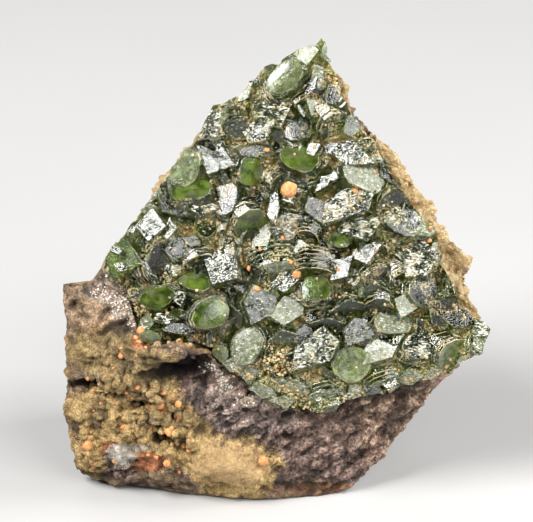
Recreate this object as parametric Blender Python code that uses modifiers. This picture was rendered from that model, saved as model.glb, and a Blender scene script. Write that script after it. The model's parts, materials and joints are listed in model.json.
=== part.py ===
"""Ludlamite on matrix: a hand specimen with a crust of intergrown green crystals on a brown rock.

Axes: +Z up, +Y towards the back of the rock, +X to the right of someone who looks at the crystals.
Lengths in the tables are millimetres and are multiplied by MM; everything in the scene is in metres.
The crystals grow on the seat, a plane that leans back from the vertical. A place on the seat is given
as (across, up), in millimetres from the seat's foot.
"""

import math
import random

import bmesh
import bpy
from mathutils import Matrix, Vector
from mathutils.bvhtree import BVHTree

MM = 0.001
NAME = "ludlamite_on_matrix"

# The seat: the plane of rock that the crystals grow on.
SEAT_LEAN = math.radians(22.0)
SEAT_FOOT = Vector((0.0, -13.6, 15.0))
GAP = 0.3  # clearance between neighbouring solids
ORIGIN_SHIFT = Vector((0.67, 0.50, 0.0))  # from the tables' origin to the middle of the specimen's box

# The rock's big broken blocks, as the corners of convex lumps: x, y, z.
SLAB_CORNERS = (
    # the rim of the seat, from the apex clockwise
    (6.6, 6.0, 63.8), (8.4, 2.8, 56.0), (16.6, -0.8, 46.2), (24.0, -4.0, 38.4),
    (28.2, -6.2, 33.4), (28.6, -8.2, 28.0), (29.8, -9.6, 24.6), (22.0, -11.2, 18.6), (8.0, -13.4, 15.2),
    (-20.0, -11.0, 23.0), (-25.6, -7.0, 31.4), (-21.6, -4.8, 37.2), (-13.8, -1.0, 46.4), (-8.6, 2.2, 54.2),
    (-2.0, 4.0, 58.6),
    # the broken back, higher up
    (6.0, 9.6, 60.4), (15.0, 9.4, 43.0), (24.0, 3.4, 31.0), (-3.4, 11.4, 51.4), (-14.0, 10.8, 37.0),
    (19.0, 9.6, 25.0), (-20.0, 9.0, 27.0), (-1.0, 14.6, 35.0),
)
FOOT_CORNERS = (
    # the left corner and the front edge, left to right
    (-29.6, -9.4, 31.4), (-29.8, -11.2, 20.0), (-30.6, -11.4, 12.0), (-29.8, -11.0, 5.6),
    (-28.8, -10.8, 1.8), (-22.4, -10.8, 0.2), (-15.4, -11.4, 0.4), (-9.8, -12.8, 0.2),
    (-4.0, -14.2, -1.0), (1.0, -14.6, -1.0), (6.0, -13.6, -0.8), (10.2, -12.0, 0.2),
    (13.4, -10.6, 2.0), (16.4, -10.0, 5.4), (20.0, -9.4, 10.4), (23.2, -9.4, 16.8), (28.0, -8.6, 22.6),
    # the swelling of the front face
    (-19.0, -13.8, 22.0), (-12.0, -15.2, 13.0), (-17.0, -14.8, 6.6), (-23.0, -13.2, 12.0),
    (9.0, -12.8, 13.6),
    # the back
    (-26.4, 8.6, 27.0), (-25.4, 12.6, 7.0), (-18.0, 15.4, -0.8), (6.0, 16.2, -0.8), (17.0, 11.0, 11.0),
    (22.0, 5.0, 24.0), (-10.0, 14.6, 35.0), (6.0, 15.0, 32.0),
)
LEDGE_CORNERS = (
    (-20.8, -13.8, 25.0), (-14.0, -15.2, 26.2), (-9.4, -15.2, 25.2), (-7.8, -14.9, 22.8),
    (-13.0, -16.6, 21.8), (-20.0, -15.6, 20.8), (-23.0, -12.0, 24.0), (-22.0, -8.0, 25.0),
    (-7.0, -9.0, 24.0), (-8.0, -9.0, 20.0), (-22.0, -8.0, 18.0),
)
BULGE_CORNERS = (
    (-12.0, -16.4, 5.6), (-6.4, -17.4, 6.2), (-1.6, -16.0, 4.4), (-7.0, -15.8, 9.0), (-12.0, -14.8, 8.6),
    (-13.0, -14.0, 2.0), (-2.0, -14.8, 1.6), (-7.0, -9.0, 12.0), (-15.0, -8.0, 2.0), (1.0, -9.0, 2.0),
)
# Rounded lumps grown on the rock's left side: centre x, y, z and radius.
LUMPS = (
    (-22.6, -13.0, 18.2, 2.1), (-20.6, -13.8, 16.8, 1.4), (-17.6, -14.6, 16.2, 1.5),
    (-23.2, -12.8, 13.8, 2.0), (-18.2, -14.6, 14.0, 1.4), (-14.8, -15.2, 11.6, 1.7),
    (-19.0, -14.2, 10.8, 1.5), (-26.0, -11.6, 7.8, 1.7), (-27.6, -10.6, 5.8, 1.4),
    (-21.8, -12.8, 7.4, 2.0), (-27.4, -11.4, 12.2, 1.9), (-28.0, -10.6, 20.6, 2.0),
    (-12.0, -15.2, 13.6, 1.2), (-16.4, -14.2, 4.6, 1.6), (-25.0, -11.8, 22.6, 1.8),
    (-11.6, -15.4, 9.6, 1.3),
)
# Hollows broken out of the rock: centre x, y, z, then half sizes across, deep and high.
HOLLOWS = (
    (-12.6, -15.8, 19.2, 5.4, 2.8, 2.0),  # under the ledge
    (-27.6, -12.4, 17.0, 3.6, 1.8, 0.8),  # the cracks of the left side, from the top
    (-22.6, -13.6, 26.2, 3.0, 1.6, 0.9),
    (-20.4, -15.0, 15.2, 3.4, 1.3, 0.7),
    (-15.4, -16.0, 9.6, 1.5, 2.4, 0.9),  # a deep pit
    (-23.0, -14.2, 10.6, 2.6, 1.6, 0.7),
    (2.0, -14.6, 13.4, 9.0, 1.4, 2.4),  # the undercut below the crust
    (13.6, 2.0, 53.4, 2.6, 10.0, 5.0),  # the bites out of the right edge and of the left shoulder
    (-28.0, -4.0, 36.2, 5.0, 12.0, 4.2),
)
ROCK_VOXEL = 0.8
ROCK_FORMS = ((8.0, 1.8), (3.4, 0.9))  # roughness of the broken rock: lump size and height
ROCK_DETAIL = 0.052  # the share of the fine mesh's faces that is kept
BED = (60.0, 60.0, 20.0)  # the block that trims the rock level where it stands

# The outline of the crust on the seat, clockwise from the apex: across, up.
CRUST_OUTLINE = (
    (6.2, 50.6), (8.4, 46.0), (9.6, 42.0), (13.8, 36.4), (17.4, 29.8), (21.4, 24.8), (23.4, 18.8),
    (25.8, 13.8), (28.6, 10.8), (27.6, 6.6), (23.0, 4.4), (16.6, 2.8), (10.0, 0.8), (7.0, -1.0),
    (1.6, -0.2), (-2.8, 1.9), (-6.8, 5.2), (-9.2, 8.5), (-12.6, 9.5), (-17.4, 9.2), (-18.6, 12.2),
    (-20.2, 15.8), (-23.4, 18.0), (-23.8, 21.4), (-20.6, 24.4), (-16.2, 29.8), (-11.8, 36.6),
    (-8.4, 41.8), (-4.4, 43.8), (-1.8, 46.8),
)
CRUST_THICKNESS = 1.3

# Where the rock is cut down to the seat. It follows the crust closely at the left and the foot, where
# the rock stands up beside the crystals, and runs clear of the rock everywhere else.
SEAT_OUTLINE = (
    (6.0, 62.0), (30.0, 44.0), (36.0, 24.0), (36.0, 2.0), (20.0, 0.2), (7.2, -2.8), (1.0, -1.4),
    (-3.6, 0.8), (-7.6, 4.6), (-9.6, 7.8), (-12.8, 8.8), (-18.6, 8.4), (-19.6, 12.0), (-21.0, 15.0),
    (-24.4, 17.2), (-26.4, 20.6), (-36.0, 24.0), (-34.0, 34.0), (-14.0, 56.0),
)
SEAT_CLEARANCE = 12.0  # how far out from the seat the rock is cut away
SEAT_WALL = 0.45  # how far the crystals are trimmed back from the cut's wall

# Habits: how the plates of a crystal are stacked. Each has (plates, narrowing, fanning in degrees, sides).
HABITS = {
    "block": (1, 0.0, 0.0, 6),
    "terrace": (2, 0.32, 12.0, 7),
    "book": (3, 0.08, 26.0, 5),
}
PLATE_BEVEL = 0.76  # a plate's upper outline as a share of its lower one
OVERGROWTH = 1.12  # how far the crystals grow into each other, as a factor on the sizes below

CORNER_REACH = (0.78, 1.16)  # how unevenly a plate's corners stand out
SIDE_SLOPE = 0.16  # how far a plate's upper outline slides over its lower one, at most

# The crystals: habit, across, up, half length, half width, height, then lean right, lean up and spin in
# degrees, and rise.
# Rise is the height of the crystal's middle above the seat.
CRYSTALS = (
    # the apex
    ("block", 7.2, 48.8, 1.5, 1.3, 1.8, 10, 15, 20, 1.6),
    ("terrace", 3.6, 48.6, 3.2, 1.6, 1.8, -18, 26, 32, 1.4),
    ("terrace", 1.0, 45.6, 3.3, 2.5, 2.0, -10, 14, 38, 2.4),
    ("block", 5.6, 46.2, 1.0, 2.2, 2.0, 12, -6, -14, 1.7),
    ("block", 4.8, 44.8, 1.3, 1.5, 1.8, -18, 18, 30, 1.9),
    ("book", 4.0, 43.4, 2.6, 1.8, 2.2, 24, -30, 15, 1.2),
    ("block", -4.0, 43.8, 2.2, 1.6, 1.8, -26, 22, 40, 1.2),
    ("block", -2.4, 45.6, 1.4, 1.0, 1.4, -30, 18, 30, 1.5),
    ("block", 7.8, 43.2, 1.6, 1.9, 2.0, 30, 10, -10, 1.5),
    # the upper field
    ("block", -0.6, 41.0, 3.0, 2.0, 2.4, 6, 20, 8, 1.8),
    ("block", -2.2, 38.0, 2.0, 1.6, 2.4, -17, 19, 24, 2.2),
    ("terrace", -5.2, 39.6, 2.6, 2.2, 2.6, 20, -12, -20, 1.5),
    ("block", -8.8, 38.8, 2.1, 2.4, 2.4, -30, 16, 50, 1.3),
    ("terrace", -9.6, 36.2, 2.4, 2.0, 2.4, -32, -6, 60, 1.3),
    ("block", -7.4, 34.4, 3.1, 2.2, 2.6, -15, 14, -24, 2.3),
    ("block", -3.6, 35.6, 2.4, 0.9, 2.2, 12, 10, 10, 2.2),
    ("terrace", -4.8, 32.8, 2.8, 2.6, 2.8, 26, 4, 60, 1.9),
    ("book", 7.2, 40.2, 3.0, 2.6, 3.0, 12, -38, 82, 1.8),
    ("terrace", 3.0, 38.6, 2.6, 1.8, 2.4, -12, 30, 24, 1.8),
    ("block", 10.0, 39.0, 1.8, 1.4, 2.0, 16, 10, 60, 1.9),
    ("terrace", 3.4, 33.8, 3.2, 2.9, 3.0, 4, 42, 2, 2.3),
    ("block", 10.2, 35.4, 3.2, 2.1, 2.4, -16, 18, -18, 1.8),
    ("block", 5.4, 35.8, 1.3, 1.0, 2.0, -18, 19, 30, 2.4),
    ("terrace", 12.2, 32.4, 3.4, 2.9, 2.8, 18, 22, -50, 1.6),
    ("block", 15.2, 33.0, 2.2, 1.7, 2.2, 34, 8, -48, 1.4),
    ("block", 7.4, 31.0, 1.7, 1.4, 2.6, -18, 18, 52, 2.5),
    ("block", 4.6, 30.8, 2.1, 1.6, 2.2, 22, -26, 20, 1.4),
    ("book", -12.4, 33.2, 2.8, 2.0, 2.8, -38, 22, 30, 1.4),
    ("terrace", -12.0, 29.8, 3.2, 2.4, 2.8, -16, 30, 14, 2.0),
    ("block", -16.8, 29.8, 2.0, 1.5, 2.0, -36, 10, 50, 1.0),
    ("block", -15.4, 27.8, 2.2, 1.8, 2.6, 18, 24, -30, 1.8),
    # the left shoulder
    ("block", -17.0, 25.0, 2.5, 1.9, 2.4, -18, 18, -14, 2.2),
    ("block", -14.4, 24.4, 0.9, 1.7, 2.4, -18, 19, -10, 2.3),
    ("block", -16.4, 21.6, 3.0, 2.6, 2.8, 24, -22, 30, 1.5),
    ("block", -21.6, 20.6, 2.5, 2.7, 3.2, -20, 12, -24, 2.0),
    ("book", -18.8, 19.4, 2.1, 2.6, 3.0, 40, 6, 80, 1.8),
    ("block", -11.0, 27.8, 2.9, 1.2, 2.4, 4, 24, -4, 2.0),
    ("block", -14.0, 22.2, 2.0, 1.5, 2.2, 14, 12, 40, 2.3),
    ("block", -12.0, 23.0, 1.3, 1.1, 2.0, 15, 10, -20, 2.2),
    ("terrace", -14.2, 19.4, 2.3, 1.9, 2.2, -12, 22, 30, 1.3),
    ("book", -10.6, 21.2, 2.6, 2.2, 2.8, 24, -34, -30, 1.3),
    ("block", -12.8, 26.0, 2.0, 1.6, 2.2, 30, 30, 10, 1.1),
    # the middle
    ("book", -6.6, 28.6, 2.6, 2.0, 2.8, -34, 26, 50, 1.6),
    ("book", -4.2, 26.4, 3.0, 2.8, 3.0, 8, -36, 84, 1.9),
    ("block", -7.2, 19.6, 3.0, 2.5, 2.6, -17, 18, 60, 2.4),
    ("block", 0.2, 27.6, 1.1, 2.2, 2.6, -18, 18, -8, 2.5),
    ("block", 1.4, 25.6, 2.6, 2.1, 2.6, 10, -20, 30, 1.8),
    ("block", 2.7, 29.4, 1.7, 1.3, 2.2, -20, 20, 10, 1.9),
    ("block", 5.0, 27.4, 1.9, 2.2, 2.4, 16, 10, 22, 2.3),
    ("book", 4.4, 24.4, 2.6, 1.9, 2.6, -28, -34, 56, 1.7),
    ("block", 10.4, 28.2, 3.8, 2.0, 2.6, -12, 20, 20, 2.2),
    ("block", 11.6, 24.8, 3.1, 2.0, 2.6, -10, 26, 18, 1.8),
    ("book", 16.2, 28.4, 3.0, 2.4, 2.8, 36, -16, -62, 1.4),
    ("terrace", 17.6, 25.4, 3.4, 2.3, 2.8, 22, 30, -14, 1.9),
    ("terrace", 8.4, 22.8, 2.2, 2.0, 2.8, 10, 34, 70, 1.8),
    ("terrace", -0.6, 20.8, 3.3, 2.6, 3.0, 4, -40, 4, 2.1),
    ("book", 5.4, 20.2, 3.3, 2.5, 3.2, -6, -48, 10, 2.1),
    ("block", 9.4, 19.0, 1.9, 1.5, 2.4, -18, 18, 44, 2.5),
    ("block", 13.2, 21.4, 2.4, 1.3, 2.4, -18, 18, 14, 2.4),
    ("terrace", 13.2, 19.0, 3.0, 2.4, 2.8, 18, -18, 20, 1.7),
    ("book", 17.0, 19.2, 2.6, 2.0, 2.6, 20, -40, 24, 1.3),
    ("block", 20.2, 20.4, 2.4, 2.7, 2.4, -10, 22, 12, 1.7),
    ("block", 22.2, 21.4, 1.4, 1.9, 2.0, 28, 10, -20, 1.1),
    ("terrace", 19.8, 16.0, 3.2, 2.7, 3.0, 24, 20, 30, 1.7),
    ("block", 22.4, 13.4, 2.6, 2.5, 2.6, 30, -8, -40, 1.3),
    ("block", 18.2, 14.2, 1.7, 2.2, 2.6, 14, 12, -30, 2.1),
    ("book", 14.2, 14.8, 2.8, 2.2, 2.8, -20, -38, 60, 1.7),
    ("block", 10.4, 14.8, 3.1, 2.0, 2.6, 8, -34, 12, 1.9),
    ("terrace", 5.6, 16.2, 2.8, 2.5, 3.0, -8, 30, 20, 2.0),
    ("block", 1.6, 17.0, 2.0, 1.7, 2.4, -14, 20, 10, 1.9),
    ("block", -2.6, 14.2, 2.5, 2.2, 2.8, 15, 11, 32, 2.6),
    ("block", -4.8, 16.4, 2.2, 1.8, 2.2, 26, 30, -30, 1.3),
    ("block", -5.8, 13.0, 2.4, 2.2, 2.4, -24, -26, 20, 1.3),
    ("terrace", 1.8, 13.2, 2.5, 2.1, 2.6, 10, 22, 40, 1.7),
    # the foot of the crust
    ("block", 1.2, 10.6, 2.3, 1.3, 2.4, 6, -34, 4, 2.1),
    ("block", 6.2, 7.8, 3.6, 2.4, 2.8, -15, 17, 18, 2.2),
    ("block", 11.0, 10.6, 2.3, 1.6, 2.4, 14, 11, 28, 2.2),
    ("block", 7.6, 12.0, 2.4, 1.8, 2.4, -8, -30, 20, 1.6),
    ("terrace", 3.8, 10.0, 2.2, 1.9, 2.4, 24, 10, -30, 1.4),
    ("book", 15.8, 11.2, 2.8, 2.0, 2.6, 10, 44, 8, 1.7),
    ("block", 15.2, 7.6, 3.4, 1.8, 2.6, -14, 22, 32, 1.9),
    ("terrace", 10.4, 5.8, 2.4, 2.5, 2.8, -10, 18, 70, 1.9),
    ("book", 14.4, 4.2, 2.8, 2.1, 2.6, 12, -44, 30, 1.3),
    ("terrace", 19.4, 8.2, 3.3, 2.3, 2.8, 10, 30, 30, 1.7),
    ("book", 23.4, 8.0, 2.8, 2.6, 2.8, 24, -30, 70, 1.4),
    ("terrace", 27.2, 9.2, 2.5, 2.3, 2.6, 24, 14, 60, 1.4),
    ("block", 25.8, 6.6, 2.4, 1.6, 2.2, 22, -30, 20, 1.2),
    ("block", 24.8, 12.2, 2.2, 1.8, 2.2, 20, 34, -30, 1.1),
    ("terrace", -3.8, 8.6, 3.2, 2.5, 2.6, -16, 6, 66, 2.2),
    ("book", -1.8, 7.6, 2.6, 1.6, 2.2, 40, -10, 64, 1.4),
    ("block", 1.4, 6.8, 2.4, 2.0, 2.2, 12, -28, -20, 1.2),
    ("block", 2.4, 3.4, 2.6, 1.7, 2.2, -10, -36, -14, 1.0),
    ("terrace", 6.8, 2.6, 3.0, 1.7, 2.4, 4, -34, 6, 1.2),
    ("block", 10.8, 2.8, 2.2, 1.6, 2.2, 16, -34, 30, 1.0),
    ("block", -3.2, 4.8, 1.8, 1.4, 1.8, -18, -24, -40, 1.1),
    ("block", 18.4, 4.8, 2.6, 1.6, 2.2, 8, -38, 12, 1.1),
    ("block", 22.0, 5.4, 2.2, 1.5, 2.2, 20, -30, 24, 1.0),
    # the lower left, where the crystals stand free of each other
    ("terrace", -9.2, 13.4, 3.2, 2.8, 3.4, 10, 12, 24, 3.0),
    ("terrace", -15.2, 14.8, 2.9, 1.6, 2.4, -8, -28, 14, 2.0),
    ("terrace", -11.2, 17.0, 2.8, 1.9, 2.6, -14, 26, -24, 1.9),
    ("block", -16.0, 12.2, 2.4, 1.2, 2.2, 14, -24, -8, 1.3),
    ("block", -7.0, 10.8, 2.4, 1.9, 2.2, 26, -20, 60, 1.4),
)

# Small crystals fill what the named ones leave free: their spacing, the room they need, and their sizes.
FILL_STEP = 3.6
FILL_JITTER = 0.8
FILL_ROOM = 2.2
FILL_MARGIN = 1.2
FILL_SIZE = (1.7, 2.4)
FILL_SLIMNESS = (0.6, 0.9)
FILL_LEAN = 40.0
FILL_SEED = 12

# The round grains of iron oxide: place x and z, radius. Each rests on what lies behind that place.
GRAINS = (
    (1.8, 44.8, 1.05),
    (2.9, 33.0, 0.56),
    (-1.8, 6.7, 0.65),
    (-18.8, 25.3, 0.6),
    (-26.7, 8.3, 0.63),
    (-13.7, 15.7, 0.45),
    (-15.4, 6.4, 0.5),
)
GRAIN_SEGMENTS = 8
GRAIN_RINGS = 6
GRAIN_STEP = Vector((0.0, -0.1, 0.03))  # how a grain is drawn back out of what it touches
IN_FRONT = -60.0  # a place on the Y axis that is well in front of the specimen


def face_frame():
    """Turns (across, up, out) on the seat, in millimetres, into the object's own millimetres."""
    across = Vector((1.0, 0.0, 0.0))
    up = Vector((0.0, math.sin(SEAT_LEAN), math.cos(SEAT_LEAN)))
    out = Vector((0.0, -math.cos(SEAT_LEAN), math.sin(SEAT_LEAN)))
    turn = Matrix((across, up, out)).transposed().to_4x4()
    return Matrix.Translation(SEAT_FOOT) @ turn


def clear_scene():
    for obj in list(bpy.data.objects):
        bpy.data.objects.remove(obj)


def new_collection(name):
    made = bpy.data.collections.new(name)
    bpy.context.scene.collection.children.link(made)
    return made


def material(name, colour, roughness):
    made = bpy.data.materials.new(name)
    made.use_nodes = True
    surface = made.node_tree.nodes["Principled BSDF"]
    surface.inputs["Base Color"].default_value = (*colour, 1.0)
    surface.inputs["Roughness"].default_value = roughness
    surface.inputs["Metallic"].default_value = 0.0
    made.diffuse_color = (*colour, 1.0)
    return made


def add_object(name, shape, collection, finish=None, place=(0.0, 0.0, 0.0)):
    """A new object from a bmesh in millimetres, which it frees. Its origin is at place, in millimetres."""
    bmesh.ops.scale(shape, vec=(MM, MM, MM), verts=shape.verts)
    mesh = bpy.data.meshes.new(name)
    shape.to_mesh(mesh)
    shape.free()
    made = bpy.data.objects.new(name, mesh)
    made.location = Vector(place) * MM
    if finish:
        mesh.materials.append(finish)
    collection.objects.link(made)
    return made


def add_cutter(name, shape, collection):
    made = add_object(name, shape, collection)
    made.hide_render = True
    made.display_type = "WIRE"
    return made


def hull(shape, corners):
    """Adds the convex lump of these corners to a bmesh."""
    verts = [shape.verts.new(corner) for corner in corners]
    made = bmesh.ops.convex_hull(shape, input=verts)
    unused = [v for v in made["geom_interior"] if isinstance(v, bmesh.types.BMVert)]
    bmesh.ops.delete(shape, geom=unused, context="VERTS")


def prism(outline, low, high, frame):
    """A flat outline on the seat as a solid from out = low to out = high."""
    shape = bmesh.new()
    floor = [shape.verts.new((x, y, low)) for x, y in outline]
    face = shape.faces.new(floor)
    raised = bmesh.ops.extrude_face_region(shape, geom=[face])
    moved = [v for v in raised["geom"] if isinstance(v, bmesh.types.BMVert)]
    bmesh.ops.translate(shape, verts=moved, vec=(0, 0, high - low))
    bmesh.ops.recalc_face_normals(shape, faces=shape.faces)
    bmesh.ops.transform(shape, matrix=frame, verts=shape.verts)
    return shape


def box(centre, sides):
    shape = bmesh.new()
    bmesh.ops.create_cube(shape, size=1.0)
    bmesh.ops.scale(shape, vec=sides, verts=shape.verts)
    bmesh.ops.translate(shape, vec=centre, verts=shape.verts)
    return shape


def grown(outline, margin):
    """The outline moved outwards from its middle by about the margin."""
    middle = sum((Vector(p) for p in outline), Vector((0, 0))) / len(outline)
    return [tuple(Vector(p) + (Vector(p) - middle).normalized() * margin) for p in outline]


def evaluated_mesh(obj):
    """The object's mesh after its modifiers."""
    graph = bpy.context.evaluated_depsgraph_get()
    return bpy.data.meshes.new_from_object(obj.evaluated_get(graph), depsgraph=graph)


def apply_modifiers(obj):
    mesh = evaluated_mesh(obj)
    obj.modifiers.clear()
    obj.data = mesh


def keep_outer_shell(obj):
    """Fills the closed hollows left between crystals: only the outermost connected surface stays."""
    apply_modifiers(obj)
    shape = bmesh.new()
    shape.from_mesh(obj.data)
    unseen = set(shape.verts)
    shells = []
    while unseen:
        shell = set()
        front = [unseen.pop()]
        while front:
            vert = front.pop()
            shell.add(vert)
            near = {edge.other_vert(vert) for edge in vert.link_edges} & unseen
            unseen -= near
            front += near
        shells.append(shell)
    shells.sort(key=len)
    hidden = [vert for shell in shells[:-1] for vert in shell]
    bmesh.ops.delete(shape, geom=hidden, context="VERTS")
    shape.to_mesh(obj.data)
    shape.free()


def boolean(obj, operation, cutter=None, cutters=None):
    modifier = obj.modifiers.new(operation.lower(), "BOOLEAN")
    modifier.operation = operation
    modifier.solver = "EXACT"
    if cutters:
        modifier.operand_type = "COLLECTION"
        modifier.collection = cutters
    else:
        modifier.object = cutter


def roughen(obj, lump, height, seed):
    """Pushes the surface in and out by a soft noise."""
    texture = bpy.data.textures.new(f"rock_{seed}", "CLOUDS")
    texture.noise_scale = lump * MM
    texture.noise_depth = 2
    guide = bpy.data.objects.new(f"noise_origin_{seed}", None)
    guide.location = (seed * lump * MM, 0, 0)
    bpy.context.scene.collection.objects.link(guide)
    modifier = obj.modifiers.new("roughen", "DISPLACE")
    modifier.texture = texture
    modifier.texture_coords = "OBJECT"
    modifier.texture_coords_object = guide
    modifier.strength = height * MM
    modifier.mid_level = 0.5


def fuse(obj, voxel):
    modifier = obj.modifiers.new("fuse", "REMESH")
    modifier.mode = "VOXEL"
    modifier.voxel_size = voxel * MM


def add_hollows():
    hollows = new_collection("hollow_cutters")
    for number, (x, y, z, half_x, half_y, half_z) in enumerate(HOLLOWS, start=1):
        pit = bmesh.new()
        bmesh.ops.create_icosphere(pit, subdivisions=2, radius=1.0)
        bmesh.ops.scale(pit, vec=(half_x, half_y, half_z), verts=pit.verts)
        bmesh.ops.translate(pit, vec=(x, y, z), verts=pit.verts)
        add_cutter(f"hollow_{number}", pit, hollows)
    return hollows


def build_matrix(parts, cutters, frame):
    """The host rock: blocks fused, roughened and hollowed, then cut flat for the crust and the ground."""
    shape = bmesh.new()
    for corners in (SLAB_CORNERS, FOOT_CORNERS, LEDGE_CORNERS, BULGE_CORNERS):
        hull(shape, corners)
    for x, y, z, radius in LUMPS:
        place = Matrix.Translation((x, y, z))
        bmesh.ops.create_icosphere(shape, subdivisions=2, radius=radius, matrix=place)
    rock = add_object("matrix", shape, parts, material("matrix", (0.30, 0.21, 0.13), 0.9))
    fuse(rock, ROCK_VOXEL)
    for seed, (lump, height) in enumerate(ROCK_FORMS, start=1):
        roughen(rock, lump, height, seed)
    fuse(rock, ROCK_VOXEL)
    thin = rock.modifiers.new("thin", "DECIMATE")
    thin.ratio = ROCK_DETAIL
    apply_modifiers(rock)
    boolean(rock, "DIFFERENCE", cutters=add_hollows())
    seat = prism(SEAT_OUTLINE, 0.0, SEAT_CLEARANCE, frame)
    boolean(rock, "DIFFERENCE", cutter=add_cutter("seat_cutter", seat, cutters))
    bed = box((0, 0, -BED[2] / 2), BED)
    boolean(rock, "DIFFERENCE", cutter=add_cutter("bed_cutter", bed, cutters))
    return rock


def plates_of(habit, height):
    """The plates of one crystal in its own frame: (outline scale, thickness, middle height, fan angle)."""
    count, narrowing, fanning, _ = HABITS[habit]
    thickness = height / count
    for i in range(count):
        share = i / max(count - 1, 1)
        scale = 1.0 - narrowing * (share if habit == "terrace" else i % 2)
        fan = math.radians(fanning) * (share - 0.5)
        yield scale, thickness, height * ((i + 0.5) / count - 0.5), fan


def inside(point, outline):
    """Whether a place on the seat lies within the outline."""
    x, y = point
    crossings = 0
    for (x1, y1), (x2, y2) in zip(outline, outline[1:] + outline[:1]):
        if (y1 > y) != (y2 > y) and x < x1 + (y - y1) / (y2 - y1) * (x2 - x1):
            crossings += 1
    return crossings % 2 == 1


def fill_places():
    """The places on the seat that no named crystal takes, on a loose grid."""
    chance = random.Random(FILL_SEED)
    limit = grown(CRUST_OUTLINE, -FILL_MARGIN)
    taken = [(row[1], row[2]) for row in CRYSTALS]
    for i in range(-8, 10):
        for j in range(16):
            across = (i + 0.5 * (j % 2)) * FILL_STEP + chance.uniform(-FILL_JITTER, FILL_JITTER)
            up = j * FILL_STEP + chance.uniform(-FILL_JITTER, FILL_JITTER)
            room = min(math.dist((across, up), other) for other in taken)
            if inside((across, up), limit) and room > FILL_ROOM:
                taken.append((across, up))
                yield across, up


def fill_crystals():
    """Rows like those of CRYSTALS for the places that no named crystal takes."""
    for number, place in enumerate(fill_places()):
        chance = random.Random(FILL_SEED + number)
        half = chance.uniform(*FILL_SIZE)
        slim = half * chance.uniform(*FILL_SLIMNESS)
        lean = (chance.uniform(-FILL_LEAN, FILL_LEAN), chance.uniform(-FILL_LEAN, FILL_LEAN))
        yield ("block", *place, half, slim, half, *lean, chance.uniform(0.0, 180.0), 1.0)


def uneven(plate, sides, chance):
    """Gives a plate's outline corners that stand in and out, and sides that slope unequally."""
    reach = [chance.uniform(*CORNER_REACH) for _ in range(sides)]
    slide = Vector((chance.uniform(-SIDE_SLOPE, SIDE_SLOPE), chance.uniform(-SIDE_SLOPE, SIDE_SLOPE)))
    for vert in plate.verts:
        corner = round(math.atan2(vert.co.y, vert.co.x) / math.tau * sides) % sides
        vert.co.xy = vert.co.xy * reach[corner] + (slide if vert.co.z > 0 else -slide)


def crystal_plates(row, chance):
    """The plates of one crystal on the seat, each as a bmesh in (across, up, out)."""
    habit, across, up, half_length, half_width, height, lean_right, lean_up, spin, rise = row
    tip_up = Matrix.Rotation(math.radians(-lean_up), 4, "X")
    tip_right = Matrix.Rotation(math.radians(lean_right), 4, "Y")
    turn = tip_up @ tip_right @ Matrix.Rotation(math.radians(spin), 4, "Z")
    place = Matrix.Translation((across, up, rise)) @ turn
    sides = HABITS[habit][3]
    for scale, thickness, middle, fan in plates_of(habit, height):
        plate = bmesh.new()
        bmesh.ops.create_cone(
            plate, cap_ends=True, segments=sides, radius1=1.0, radius2=PLATE_BEVEL, depth=1.0)
        uneven(plate, sides, chance)
        wide = scale * OVERGROWTH
        size = Matrix.Diagonal((half_length * wide, half_width * wide, thickness * OVERGROWTH, 1.0))
        swing = Matrix.Rotation(fan, 4, "X") @ Matrix.Translation((0, 0, middle))
        bmesh.ops.transform(plate, matrix=place @ swing @ size, verts=plate.verts)
        yield plate


def add_crystals(collection, frame):
    for number, row in enumerate((*CRYSTALS, *fill_crystals()), start=1):
        for part, plate in enumerate(crystal_plates(row, random.Random(number)), start=1):
            bmesh.ops.transform(plate, matrix=frame, verts=plate.verts)
            add_cutter(f"crystal_{number}_{part}", plate, collection)


def build_crust(parts, cutters, frame):
    """The ludlamite: a thin sheet with every crystal fused to it, cut flat where it meets the rock."""
    finish = material("ludlamite", (0.09, 0.19, 0.06), 0.15)
    crust = add_object("ludlamite_crust", prism(CRUST_OUTLINE, GAP, CRUST_THICKNESS, frame), parts, finish)
    crystals = new_collection("crystal_pieces")
    add_crystals(crystals, frame)
    boolean(crust, "UNION", cutters=crystals)
    room = prism(grown(SEAT_OUTLINE, -SEAT_WALL), GAP, SEAT_CLEARANCE, frame)
    boolean(crust, "INTERSECT", cutter=add_cutter("room_cutter", room, cutters))
    keep_outer_shell(crust)
    return crust


def surface_tree(obj):
    """A search tree of the object's surface, in millimetres."""
    mesh = evaluated_mesh(obj)
    shape = bmesh.new()
    shape.from_mesh(mesh)
    bmesh.ops.scale(shape, vec=(1 / MM,) * 3, verts=shape.verts)
    tree = BVHTree.FromBMesh(shape)
    shape.free()
    bpy.data.meshes.remove(mesh)
    return tree


def rest_point(trees, x, z, radius):
    """Where a grain's centre comes to lie when it is pushed straight back on to the surfaces."""
    start = Vector((x, IN_FRONT, z))
    hits = [tree.ray_cast(start, Vector((0, 1, 0)))[0] for tree in trees]
    centre = Vector((x, min(hit.y for hit in hits if hit), z))
    while min((tree.find_nearest(centre)[0] - centre).length for tree in trees) < radius + GAP:
        centre += GRAIN_STEP
    return centre


def build_grains(parts, rock, crust):
    """The orange grains that lie on the rock and between the crystals."""
    finish = material("iron_oxide", (0.72, 0.26, 0.06), 0.7)
    trees = [surface_tree(rock), surface_tree(crust)]
    for number, (x, z, radius) in enumerate(GRAINS, start=1):
        grain = bmesh.new()
        bmesh.ops.create_uvsphere(
            grain, u_segments=GRAIN_SEGMENTS, v_segments=GRAIN_RINGS, radius=radius)
        place = rest_point(trees, x, z, radius)
        add_object(f"orange_grain_{number}", grain, parts, finish, place).data.shade_smooth()


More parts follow.
